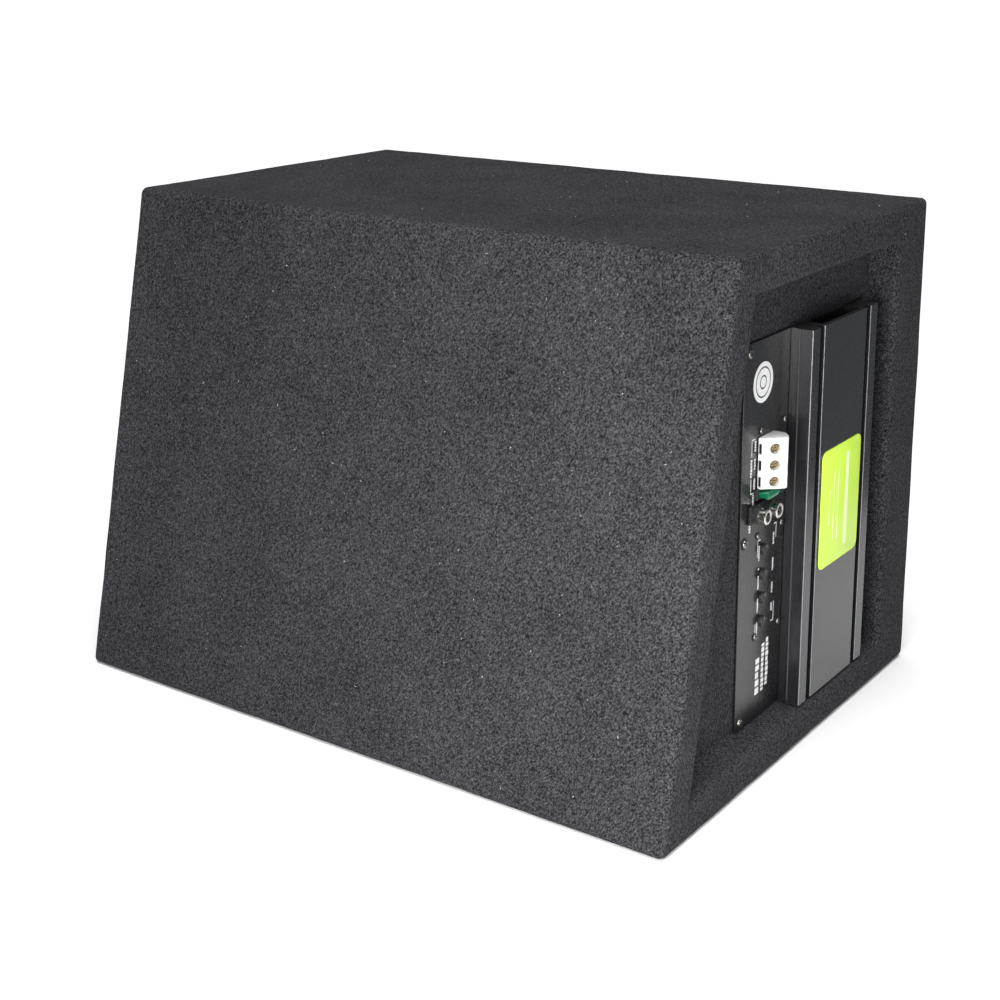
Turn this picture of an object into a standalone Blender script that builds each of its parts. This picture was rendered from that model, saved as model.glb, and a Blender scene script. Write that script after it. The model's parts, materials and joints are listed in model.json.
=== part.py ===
"""Powered car subwoofer: a carpeted wedge-shaped bass box with a 12-inch driver and a built-in amplifier.

Units are metres and +Z is up. The origin is on the floor under the middle of the whole object. The driver faces -Y,
the sloped back faces +Y and the amplifier sits in a recess in the -X end. Places on the amplifier are given as the
distance from the carpeted front face (dist, along +Y), the height, and how proud of the amplifier plate they stand.
"""
import math

import bmesh
import bpy
from mathutils import Matrix, Vector

# ---- driving dimensions ---------------------------------------------------------------------------------------------
WIDTH = 0.500
HEIGHT = 0.350
DEPTH_TOP = 0.280
DEPTH_BOTTOM = 0.357
ROLL_PROUD = 0.012  # how far the driver's rolled surround stands in front of the carpet
CARPET = 0.0025
WALL = 0.018  # fibreboard walls
RIM_BOARD = 0.020  # board round the amplifier recess
MOUNT_BOARD = 0.015  # board that carries the amplifier
GAP = 0.0003  # clearance between touching pieces
WADDING_X = (-0.140, 0.200)
WADDING_Z = (0.045, 0.305)
WADDING_THICK = 0.025

SLOPE = (DEPTH_BOTTOM - DEPTH_TOP) / HEIGHT
SLANT = math.sqrt(1 + SLOPE * SLOPE)  # horizontal width of a unit thickness of the sloped back
FRONT_Y = ROLL_PROUD - (DEPTH_BOTTOM + ROLL_PROUD) / 2
END_X = WIDTH / 2

# the visible opening of the amplifier recess
RECESS_LOW = 0.025
RECESS_HIGH = 0.324
RECESS_FRONT = 0.048  # from the front face
RECESS_BACK_RIM = 0.028  # square to the sloped back

# amplifier plate
PLATE_DIST = (0.0635, 0.2365)
PLATE_Z = (0.027, 0.287)
PLATE_THICK = 0.0015
PLATE_X = -END_X + CARPET + RIM_BOARD - CARPET - GAP  # rear face of the plate
FACE_X = PLATE_X - PLATE_THICK  # outer face of the plate
SCREW_DIST = (0.0695, 0.2305)
SCREW_Z = (0.033, 0.157, 0.281)

# heatsink, label and controls
SINK_DIST = (0.0750, 0.1750)
SINK_PROUD = 0.0155
SINK_SKIN = 0.0035
LABEL_DIST = (0.0945, 0.1545)
LABEL_Z = (0.117, 0.200)
LABEL_THICK = 0.0005
KNOB_DIST = 0.2055
KNOB_Z = (0.1462, 0.1290, 0.1126, 0.0962)
KNOB_RADIUS = 0.0039
KNOB_PROUD = 0.0034
SHAFT_RADIUS = 0.0028
BLOCK_DIST = (0.1955, 0.2165)
BLOCK_Z = (0.1902, 0.2238)
BLOCK_LOW = 0.0032  # proud height at the wire entries
BLOCK_HIGH = 0.0152
BLOCK_RUN = 0.0116  # distance over which the slanted face rises
TERMINAL_Z = (0.2166, 0.2057, 0.1948)
TERMINAL_SUNK = 0.0030  # screw heads below the slanted face
ENTRY_PROUD = (0.0006, 0.0052)
ENTRY_TALL = 0.0070
ENTRY_DEEP = 0.0048
FUSE_DIST = (0.1990, 0.2180)
FUSE_Z = (0.1846, 0.1890)
FUSE_PROUD = 0.0095
FUSE_SEAT = 0.0012  # underside of the fuse's body
BLADE_WIDE = 0.0052
BLADE_THICK = 0.0008
BLADE_LONG = 0.0070
JACK_DIST = (0.2050, 0.2210)
JACK_Z = 0.1745
JACK_RADIUS = 0.0050
JACK_PROUD = 0.0115
JACK_BORE = 0.0037  # radius of the holes in the jacks' housing
HOUSING_PROUD = 0.0024
HOUSING_ROOM = 0.0060  # housing round the jacks' axes
LEAD_RADIUS = 0.0016
LEAD_DIST = 0.150
LEAD_Z = (0.226, 0.238)
LED_DIST = 0.1905
LED_Z = 0.1940
LED_RADIUS = 0.0025
CHASSIS_DIST = (0.0750, 0.2270)
CHASSIS_Z = (0.040, 0.276)
CHASSIS_DEEP = 0.050
SHEET = 0.0012
BOARD_BACK = 0.022  # circuit board behind the plate
BOARD_THICK = 0.0016
TALL_PARTS_DIST = 0.110  # transformer and capacitors on the circuit board
TOROID_Z = 0.090
TOROID_RADIUS = (0.010, 0.022)
TOROID_TALL = 0.016
CAN_Z = (0.130, 0.156)

# driver, on the axis through (DRIVER_X, DRIVER_Z); depth runs into the box from the carpet's face
DRIVER_X = 0.0
DRIVER_Z = HEIGHT / 2
CUTOUT_RADIUS = 0.1400
FLANGE_RADIUS = 0.1550
ROLL_OUTER = 0.1310
ROLL_INNER = 0.1110
FORMER_RADIUS = 0.0250
MAGNET_RADIUS = 0.0780
MAGNET_HOLE = 0.0340
MAGNET_THICK = 0.020
POLE_TOP = 0.0803  # depth of the magnet system's front
POLE_PLATE_RADIUS = 0.0640
POLE_PLATE_THICK = 0.008
POLE_RADIUS = (0.0090, 0.0225)  # the vented pole piece
ROUND_STEPS = 40


def dist_y(dist):
    """The Y of a distance from the carpeted front face."""
    return FRONT_Y + dist


def proud_x(proud):
    """The X of a height above the amplifier plate's outer face."""
    return FACE_X - proud


def back_y(z, inset=0.0):
    """The Y of the sloped back at a height, or of a plane that lies inset behind it, measured square to the slope."""
    return FRONT_Y + DEPTH_TOP + SLOPE * (HEIGHT - z) - inset * SLANT


# ---- modelling helpers ----------------------------------------------------------------------------------------------
def collection(name):
    """A new collection in the scene."""
    made = bpy.data.collections.new(name)
    bpy.context.scene.collection.children.link(made)
    return made


def material(name, colour, roughness, metallic=0.0):
    """A Principled material."""
    made = bpy.data.materials.new(name)
    made.use_nodes = True
    shader = made.node_tree.nodes["Principled BSDF"]
    shader.inputs["Base Color"].default_value = (*colour, 1.0)
    shader.inputs["Roughness"].default_value = roughness
    shader.inputs["Metallic"].default_value = metallic
    return made


def add(name, mesh, look, smooth=False):
    """A mesh as a named object of the part, with its own copy of a finish."""
    obj = bpy.data.objects.new(name, mesh)
    mesh.materials.clear()
    own = look.copy()
    own.name = name + "_finish"
    mesh.materials.append(own)
    PART.objects.link(obj)
    if smooth:
        mesh.shade_smooth()
        mesh.set_sharp_from_angle(angle=math.radians(35))
    return obj


def cuboid(name, look, low, high):
    """A box between two corners."""
    low = Vector(low)
    high = Vector(high)
    size = high - low
    bm = bmesh.new()
    place = Matrix.Translation((low + high) / 2) @ Matrix.Diagonal((*size, 1.0))
    bmesh.ops.create_cube(bm, size=1.0, matrix=place)
    mesh = bpy.data.meshes.new(name)
    bm.to_mesh(mesh)
    bm.free()
    return add(name, mesh, look)


ALONG = {
    "X": Matrix(((0, 0, 1, 0), (1, 0, 0, 0), (0, 1, 0, 0), (0, 0, 0, 1))),  # outline in Y, Z
    "Y": Matrix(((0, 1, 0, 0), (0, 0, 1, 0), (1, 0, 0, 0), (0, 0, 0, 1))),  # outline in Z, X
    "Z": Matrix.Identity(4),  # outline in X, Y
}


def plate(name, look, outlines, axis, start, end):
    """A flat piece: closed outlines (the first one outside, the others holes) extruded along an axis."""
    curve = bpy.data.curves.new(name, "CURVE")
    curve.dimensions = "2D"
    curve.fill_mode = "BOTH"
    curve.extrude = (end - start) / 2
    for points in outlines:
        spline = curve.splines.new("POLY")
        spline.points.add(len(points) - 1)
        for point, (u, v) in zip(spline.points, points):
            point.co = (u, v, 0, 1)
        spline.use_cyclic_u = True
    shift = Matrix.Translation((0, 0, (start + end) / 2))
    return curve_to_mesh(name, look, curve, ALONG[axis] @ shift)


def tube(name, look, points, radius):
    """A round wire through points."""
    curve = bpy.data.curves.new(name, "CURVE")
    curve.dimensions = "3D"
    curve.bevel_depth = radius
    curve.bevel_resolution = 2
    curve.use_fill_caps = True
    spline = curve.splines.new("POLY")
    spline.points.add(len(points) - 1)
    for point, place in zip(spline.points, points):
        point.co = (*place, 1)
    return curve_to_mesh(name, look, curve, Matrix.Identity(4), smooth=True)


def curve_to_mesh(name, look, curve, place, smooth=False):
    """Turns a curve into a welded mesh object and drops the curve."""
    holder = bpy.data.objects.new(name + "_curve", curve)
    bpy.context.scene.collection.objects.link(holder)
    graph = bpy.context.evaluated_depsgraph_get()
    mesh = bpy.data.meshes.new_from_object(holder.evaluated_get(graph))
    bpy.data.objects.remove(holder)
    bm = bmesh.new()
    bm.from_mesh(mesh)
    bmesh.ops.remove_doubles(bm, verts=bm.verts, dist=0.00001)
    bmesh.ops.transform(bm, matrix=place, verts=bm.verts)
    bmesh.ops.recalc_face_normals(bm, faces=bm.faces)
    bm.to_mesh(mesh)
    bm.free()
    mesh.name = name
    return add(name, mesh, look, smooth)


def turned(name, look, profile, centre, pole, steps=ROUND_STEPS, closed=True):
    """A turned piece: (radius, height) points from its top down the outer side, turned about pole through centre."""
    mesh = bpy.data.meshes.new(name)
    bm = bmesh.new()
    verts = [bm.verts.new((radius, 0.0, height)) for radius, height in profile]
    pairs = list(zip(verts, verts[1:]))
    if closed:
        pairs.append((verts[-1], verts[0]))
    for first, second in pairs:
        bm.edges.new((first, second))
    bm.to_mesh(mesh)
    bm.free()
    obj = add(name, mesh, look)
    screw = obj.modifiers.new("Screw", "SCREW")
    screw.axis = "Z"
    screw.angle = math.tau
    screw.steps = steps
    screw.render_steps = steps
    screw.use_merge_vertices = True
    screw.merge_threshold = 0.00001
    screw.use_smooth_shade = True
    obj.location = centre
    obj.rotation_euler = Vector(pole).to_track_quat("Z", "Y").to_euler()
    return obj


def combine(obj, tool, operation):
    """Joins a tool to an object, or cuts it out, and keeps the tool as a hidden guide."""
    PART.objects.unlink(tool)
    CUTTERS.objects.link(tool)
    tool.hide_render = True
    tool.display_type = "WIRE"
    boolean = obj.modifiers.new("Combine", "BOOLEAN")
    boolean.operation = operation
    boolean.solver = "EXACT"
    boolean.object = tool


def cut(obj, cutter):
    """Cuts one object out of another."""
    combine(obj, cutter, "DIFFERENCE")


def rectangle(u, v):
    """An outline between two values of each coordinate."""
    return [(u[0], v[0]), (u[1], v[0]), (u[1], v[1]), (u[0], v[1])]


def circle(u, v, radius, steps=24):
    """A round outline."""
    turn = math.tau / steps
    return [(u + radius * math.cos(i * turn), v + radius * math.sin(i * turn)) for i in range(steps)]


def rounded(u, v, radius, steps=4):
    """A rectangle with round corners."""
    corners = [
        (u[1] - radius, v[1] - radius, 0),
        (u[0] + radius, v[1] - radius, 1),
        (u[0] + radius, v[0] + radius, 2),
        (u[1] - radius, v[0] + radius, 3),
    ]
    points = []
    for cu, cv, quarter in corners:
        for i in range(steps + 1):
            angle = (quarter + i / steps) * math.pi / 2
            points.append((cu + radius * math.cos(angle), cv + radius * math.sin(angle)))
    return points


def section(inset, low, high):
    """The box's cross-section in Y and Z, a distance inside its outer faces and between two heights."""
    front = FRONT_Y + inset
    return [(front, low), (back_y(low, inset), low), (back_y(high, inset), high), (front, high)]


def opening(grow):
    """The amplifier recess's outline in Y and Z, grown by a distance all round."""
    low = RECESS_LOW - grow
    high = RECESS_HIGH + grow
    front = dist_y(RECESS_FRONT) - grow
    rim = RECESS_BACK_RIM - grow
    return [(front, low), (back_y(low, rim), low), (back_y(high, rim), high), (front, high)]


# ---- the box --------------------------------------------------------------------------------------------------------
def make_box():
    """Fibreboard walls, the board round the recess and the board that carries the amplifier."""
    skin = CARPET + GAP
    low = skin
    high = HEIGHT - skin
    inner_low = low + WALL + GAP
    inner_high = high - WALL - GAP
    rim_x = -END_X + skin
    mount_x = rim_x + RIM_BOARD + GAP
    plain_x = END_X - skin - WALL
    run = (mount_x, plain_x - GAP)
    baffle_y = FRONT_Y + skin
    hole = circle(DRIVER_Z, DRIVER_X, CUTOUT_RADIUS, ROUND_STEPS)
    plate("driver_baffle", FIBREBOARD, [rectangle((low, high), run), hole], "Y", baffle_y, baffle_y + WALL)
    inner_front = baffle_y + WALL + GAP
    outer = skin
    inner = skin + WALL
    clear = inner + GAP
    back = [(back_y(low, inner), low), (back_y(low, outer), low), (back_y(high, outer), high)]
    back.append((back_y(high, inner), high))
    plate("sloped_back_panel", FIBREBOARD, [back], "X", *run)
    for name, z0, z1 in (("bottom_panel", low, low + WALL), ("top_panel", high - WALL, high)):
        outline = [(inner_front, z0), (back_y(z0, clear), z0), (back_y(z1, clear), z1), (inner_front, z1)]
        plate(name, FIBREBOARD, [outline], "X", *run)
    plate("plain_end_panel", FIBREBOARD, [section(skin, low, high)], "X", plain_x, plain_x + WALL)
    window = opening(CARPET + GAP)
    plate("recess_rim_board", FIBREBOARD, [section(skin, low, high), window], "X", rim_x, rim_x + RIM_BOARD)
    mount = [(inner_front, inner_low), (back_y(inner_low, clear), inner_low)]
    mount += [(back_y(inner_high, clear), inner_high), (inner_front, inner_high)]
    plate("amplifier_board", FIBREBOARD, [mount, chassis_hole()], "X", mount_x, mount_x + MOUNT_BOARD)
    start, end = WADDING_Z
    soft = clear + WADDING_THICK
    wadding = [(back_y(start, soft), start), (back_y(start, clear), start)]
    wadding += [(back_y(end, clear), end), (back_y(end, soft), end)]
    plate("acoustic_wadding", WADDING, [wadding], "X", *WADDING_X)


def chassis_hole():
    """The cut-out that the amplifier's chassis passes through."""
    room = 0.003
    across = (dist_y(CHASSIS_DIST[0]) - room, dist_y(CHASSIS_DIST[1]) + room)
    return rectangle(across, (CHASSIS_Z[0] - room, CHASSIS_Z[1] + room))


def make_carpet():
    """The carpet covering, piece by piece as it is glued on."""
    floor_outline = [(-END_X, FRONT_Y), (END_X, FRONT_Y), (END_X, back_y(0)), (-END_X, back_y(0))]
    plate("carpet_bottom", FELT, [floor_outline], "Z", 0.0, CARPET)
    low = CARPET + GAP
    front = FRONT_Y
    high = HEIGHT
    wrap = [(front, low), (front + CARPET, low), (front + CARPET, high - CARPET)]
    wrap += [(back_y(high - CARPET, CARPET), high - CARPET), (back_y(low, CARPET), low), (back_y(low), low)]
    wrap += [(back_y(high), high), (front, high)]
    run = END_X - CARPET - GAP
    band = plate("carpet_wrap", FELT, [wrap], "X", -run, run)
    reach = 0.02
    profile = [(0, reach), (CUTOUT_RADIUS, reach), (CUTOUT_RADIUS, -reach), (0, -reach)]
    hole = turned("driver_hole_cutter", FELT, profile, (DRIVER_X, front, DRIVER_Z), (0, -1, 0), closed=False)
    cut(band, hole)
    ends = section(0.0, low, high)
    plate("carpet_plain_end", FELT, [ends], "X", END_X - CARPET, END_X)
    plate("carpet_amplifier_end", FELT, [ends, opening(0.0)], "X", -END_X, -END_X + CARPET)
    wall_x = (-END_X + CARPET + GAP, PLATE_X - GAP)
    plate("carpet_recess_walls", FELT, [opening(CARPET), opening(0.0)], "X", *wall_x)
    back_x = (PLATE_X, PLATE_X + CARPET)
    plate("carpet_recess_back", FELT, [opening(CARPET), chassis_hole()], "X", *(x + GAP for x in back_x))


# ---- the amplifier --------------------------------------------------------------------------------------------------
def make_amplifier():
    """The plate amplifier: plate, heatsink, label, chassis, board and big components."""
    across = (dist_y(PLATE_DIST[0]), dist_y(PLATE_DIST[1]))
    outlines = [rounded(across, PLATE_Z, 0.002, 2)]
    outlines += [circle(dist_y(KNOB_DIST), z, SHAFT_RADIUS + 0.0005, 12) for z in KNOB_Z]
    outlines += [circle(dist_y(d), JACK_Z, JACK_BORE + GAP, 12) for d in JACK_DIST]
    outlines.append(circle(dist_y(LED_DIST), LED_Z, LED_RADIUS + GAP, 12))
    outlines.append(fuse_outline(GAP))
    plate("amplifier_plate", BLACK_METAL, outlines, "X", FACE_X, PLATE_X)
    plate("heatsink", BLACK_METAL, [heatsink_profile()], "Z", *PLATE_Z)
    label_x = proud_x(GAP + SINK_PROUD + GAP)
    label_y = (dist_y(LABEL_DIST[0]), dist_y(LABEL_DIST[1]))
    plate("heatsink_label", GREEN_LABEL, [rounded(label_y, LABEL_Z, 0.007)], "X", label_x - LABEL_THICK, label_x)
    make_chassis()


def fuse_outline(grow):
    """The fuse body's outline in Y and Z, grown by a distance all round."""
    across = (dist_y(FUSE_DIST[0]) - grow, dist_y(FUSE_DIST[1]) + grow)
    return rectangle(across, (FUSE_Z[0] - grow, FUSE_Z[1] + grow))


def heatsink_profile():
    """The extrusion's outline in X and Y: a front skin with two grooves on legs that stand on the plate."""
    far = dist_y(SINK_DIST[0])
    near = dist_y(SINK_DIST[1])
    foot = GAP
    top = GAP + SINK_PROUD
    ridge = 0.011
    groove = 0.0065
    floor = top - 0.0055
    lip = 0.0075
    hollow_far = far + ridge + groove + 0.004
    hollow_near = near - ridge - groove - 0.004
    waist = 0.0035
    points = [
        (foot, far),
        (top, far),
        (top, far + ridge),
        (floor, far + ridge),
        (floor, far + ridge + groove),
        (top, far + ridge + groove),
        (top, near - ridge - groove),
        (floor, near - ridge - groove),
        (floor, near - ridge),
        (top, near - ridge),
        (top, near),
        (top - 0.0015, near),
        (top - 0.0035, near - waist * 0.7),
        (lip + 0.0020, near - waist),
        (lip + 0.0008, near),
        (lip, near + 0.0010),
        (lip - 0.0012, near),
        (lip - 0.0035, near - 0.0004),
        (foot, near + 0.0015),
        (foot, hollow_near),
        (top - SINK_SKIN, hollow_near),
        (top - SINK_SKIN, hollow_far),
        (foot, hollow_far),
    ]
    return [(proud_x(proud), y) for proud, y in points]


def make_chassis():
    """The sheet-metal tray behind the plate, with the circuit board and its tall parts."""
    across = (dist_y(CHASSIS_DIST[0]), dist_y(CHASSIS_DIST[1]))
    start = PLATE_X + GAP
    end = start + CHASSIS_DEEP
    tray = cuboid("amplifier_chassis", STEEL, (start, across[0], CHASSIS_Z[0]), (end, across[1], CHASSIS_Z[1]))
    inner_low = (start - 0.01, across[0] + SHEET, CHASSIS_Z[0] + SHEET)
    cut(tray, cuboid("chassis_cutter", STEEL, inner_low, (end - SHEET, across[1] - SHEET, CHASSIS_Z[1] - SHEET)))
    for i, z in enumerate(LEAD_Z):
        centre = (end, dist_y(LEAD_DIST), z)
        profile = [(0, 0.01), (LEAD_RADIUS + 0.0006, 0.01), (LEAD_RADIUS + 0.0006, -0.01), (0, -0.01)]
        cutter = turned("lead_hole_cutter_%d" % (i + 1), STEEL, profile, centre, (1, 0, 0), 16, closed=False)
        cut(tray, cutter)
    board_x = start + BOARD_BACK
    inset = SHEET + 0.004
    low = (board_x, across[0] + inset, CHASSIS_Z[0] + inset)
    high = (board_x + BOARD_THICK, across[1] - inset, CHASSIS_Z[1] - inset)
    cuboid("circuit_board", CIRCUIT, low, high)
    top_x = high[0] + GAP
    middle_y = dist_y(TALL_PARTS_DIST)
    hole, edge = TOROID_RADIUS
    ring = [(edge, TOROID_TALL), (edge, 0.0), (hole, 0.0), (hole, TOROID_TALL)]
    turned("toroidal_transformer", COPPER, ring, (top_x, middle_y, TOROID_Z), (1, 0, 0), 24)
    for i, z in enumerate(CAN_Z):
        can = [(0, 0.022), (0.0092, 0.022), (0.0100, 0.0212), (0.0100, 0.0), (0, 0.0)]
        turned("capacitor_%d" % (i + 1), CAN, can, (top_x, middle_y, z), (1, 0, 0), 20, closed=False)


def make_controls():
    """Knobs on their potentiometers, terminals, fuse, jacks, indicator lamp and plate screws."""
    names = ("level_knob", "low_pass_knob", "bass_boost_knob", "phase_knob")
    for name, z in zip(names, KNOB_Z):
        make_knob(name, z)
    make_terminal_block()
    make_fuse()
    make_jacks()
    dome = [(0, 0.0090), (LED_RADIUS * 0.7, 0.0083), (LED_RADIUS, 0.0066), (LED_RADIUS, -0.003), (0, -0.003)]
    turned("power_lamp", CLEAR, dome, (FACE_X, dist_y(LED_DIST), LED_Z), (-1, 0, 0), 12, closed=False)
    head = [(0, 0.0016), (0.0022, 0.0014), (0.0036, GAP), (0, GAP)]
    for side, dist in zip(("front", "back"), SCREW_DIST):
        for level, z in zip(("low", "middle", "high"), SCREW_Z):
            name = "plate_screw_%s_%s" % (side, level)
            turned(name, STEEL, head, (FACE_X, dist_y(dist), z), (-1, 0, 0), 16, closed=False)


def make_fuse():
    """The fuse holder and the blade fuse that pulls out of it."""
    room = 0.0022
    across = (dist_y(FUSE_DIST[0]) - room, dist_y(FUSE_DIST[1]) + room)
    outlines = [rectangle(across, (FUSE_Z[0] - 0.0009, FUSE_Z[1] + 0.0009)), fuse_outline(GAP)]
    plate("fuse_holder", BLACK_PLASTIC, outlines, "X", proud_x(0.0030), proud_x(GAP))
    low = (proud_x(FUSE_PROUD), dist_y(FUSE_DIST[0]), FUSE_Z[0])
    fuse = cuboid("blade_fuse", GREEN_PLASTIC, low, (proud_x(FUSE_SEAT), dist_y(FUSE_DIST[1]), FUSE_Z[1]))
    middle = (FUSE_Z[0] + FUSE_Z[1]) / 2
    for i, start in enumerate((FUSE_DIST[0] + 0.0012, FUSE_DIST[1] - 0.0012 - BLADE_WIDE)):
        low = (proud_x(FUSE_SEAT + 0.001), dist_y(start), middle - BLADE_THICK / 2)
        high = (proud_x(FUSE_SEAT - BLADE_LONG), dist_y(start + BLADE_WIDE), middle + BLADE_THICK / 2)
        blade = cuboid("fuse_blade_tool_%d" % (i + 1), SILVER, low, high)
        combine(fuse, blade, "UNION")


def make_knob(name, z):
    """A small knob with its shaft, and the potentiometer behind the plate that it turns."""
    body = 0.0060
    start = GAP
    profile = [
        (0, KNOB_PROUD),
        (KNOB_RADIUS - 0.0006, KNOB_PROUD),
        (KNOB_RADIUS, KNOB_PROUD - 0.0006),
        (KNOB_RADIUS, start),
        (SHAFT_RADIUS, start),
        (SHAFT_RADIUS, -PLATE_THICK - 0.0030),
        (0, -PLATE_THICK - 0.0030),
    ]
    centre = (FACE_X, dist_y(KNOB_DIST), z)
    turned(name, BLACK_PLASTIC, profile, centre, (-1, 0, 0), 20, closed=False)
    slot_low = (proud_x(KNOB_PROUD + 0.001), centre[1] - 0.0005, z)
    slot_high = (proud_x(KNOB_PROUD - 0.0006), centre[1] + 0.0005, z + KNOB_RADIUS + 0.001)
    cut(bpy.data.objects[name], cuboid(name + "_mark_cutter", BLACK_PLASTIC, slot_low, slot_high))
    x = PLATE_X + GAP
    outlines = [rectangle((centre[1] - body, centre[1] + body), (z - body, z + body))]
    outlines.append(circle(centre[1], z, SHAFT_RADIUS + GAP, 12))
    pot_name = name.replace("knob", "potentiometer")
    plate(pot_name, STEEL, outlines, "X", x, x + 0.0070)


def make_terminal_block():
    """A clear three-way block with a slanted screw face, wire entries on its low side, and its brass screws."""
    near = dist_y(BLOCK_DIST[1])
    far = dist_y(BLOCK_DIST[0])
    peak = near - BLOCK_RUN
    outline = [
        (proud_x(GAP), far),
        (proud_x(BLOCK_HIGH - 0.0060), far + 0.0004),
        (proud_x(BLOCK_HIGH - 0.0012), peak - 0.0034),
        (proud_x(BLOCK_HIGH - 0.0002), peak - 0.0022),
        (proud_x(BLOCK_HIGH), peak - 0.0008),
        (proud_x(BLOCK_HIGH), peak),
        (proud_x(BLOCK_LOW), near),
        (proud_x(GAP), near),
    ]
    block = plate("terminal_block", CLEAR, [outline], "Z", *BLOCK_Z)
    rise = BLOCK_HIGH - BLOCK_LOW
    out = Vector((-BLOCK_RUN, rise, 0)).normalized()
    middle = Vector((proud_x(BLOCK_LOW + rise * 0.53), near - BLOCK_RUN * 0.53, 0))
    names = ("earth_terminal_screw", "remote_terminal_screw", "supply_terminal_screw")
    for name, z in zip(names, TERMINAL_Z):
        low = (proud_x(ENTRY_PROUD[1]), near - ENTRY_DEEP, z - ENTRY_TALL / 2)
        high = (proud_x(ENTRY_PROUD[0]), near + 0.002, z + ENTRY_TALL / 2)
        cut(block, cuboid(name + "_entry_cutter", CLEAR, low, high))
        seat = middle + Vector((0, 0, z)) - out * TERMINAL_SUNK
        bore = [(0, 0.008), (0.0039, 0.008), (0.0039, -0.0030), (0, -0.0030)]
        cut(block, turned(name + "_bore_cutter", CLEAR, bore, seat, out, 16, closed=False))
        screw = [(0, 0), (0.0032, 0), (0.0035, -0.0004), (0.0035, -0.0026), (0, -0.0026)]
        turned(name, BRASS, screw, seat, out, 16, closed=False)
        slot = cuboid(name + "_slot_cutter", BRASS, (-0.0005, -0.005, -0.0010), (0.0005, 0.005, 0.001))
        slot.matrix_world = Matrix.Translation(seat) @ out.to_track_quat("Z", "Y").to_matrix().to_4x4()
        cut(bpy.data.objects[name], slot)


def make_jacks():
    """The two signal jacks in their common housing."""
    across = (dist_y(JACK_DIST[0] - HOUSING_ROOM), dist_y(JACK_DIST[1] + HOUSING_ROOM))
    tall = (JACK_Z - HOUSING_ROOM, JACK_Z + HOUSING_ROOM)
    bores = [circle(dist_y(d), JACK_Z, JACK_BORE, 16) for d in JACK_DIST]
    housing_x = (proud_x(HOUSING_PROUD), proud_x(GAP))
    plate("jack_housing", BLACK_PLASTIC, [rectangle(across, tall)] + bores, "X", *housing_x)
    for side, d in zip(("left", "right"), reversed(JACK_DIST)):
        profile = [
            (0.0026, JACK_PROUD - 0.0006),
            (0.0030, JACK_PROUD),
            (JACK_RADIUS - 0.0006, JACK_PROUD),
            (JACK_RADIUS, JACK_PROUD - 0.0005),
            (JACK_RADIUS, JACK_PROUD - 0.0018),
            (0.0042, JACK_PROUD - 0.0020),
            (0.0042, HOUSING_PROUD + GAP),
            (0.0034, HOUSING_PROUD + GAP),
            (0.0034, -PLATE_THICK - 0.0040),
            (0, -PLATE_THICK - 0.0040),
        ]
        start = [(0, JACK_PROUD - 0.0085), (0.0026, JACK_PROUD - 0.0085)]
        centre = (FACE_X, dist_y(d), JACK_Z)
        turned("signal_jack_" + side, SILVER, start + profile, centre, (-1, 0, 0), 20, closed=False)


# ---- the driver -----------------------------------------------------------------------------------------------------
def driver_piece(name, look, profile, steps=ROUND_STEPS, closed=True):
    """A turned driver piece. Profile points are (radius, depth into the box) from its front down the outer side."""
    points = [(radius, -depth) for radius, depth in profile]
    return turned(name, look, points, (DRIVER_X, FRONT_Y, DRIVER_Z), (0, -1, 0), steps, closed)


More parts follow.
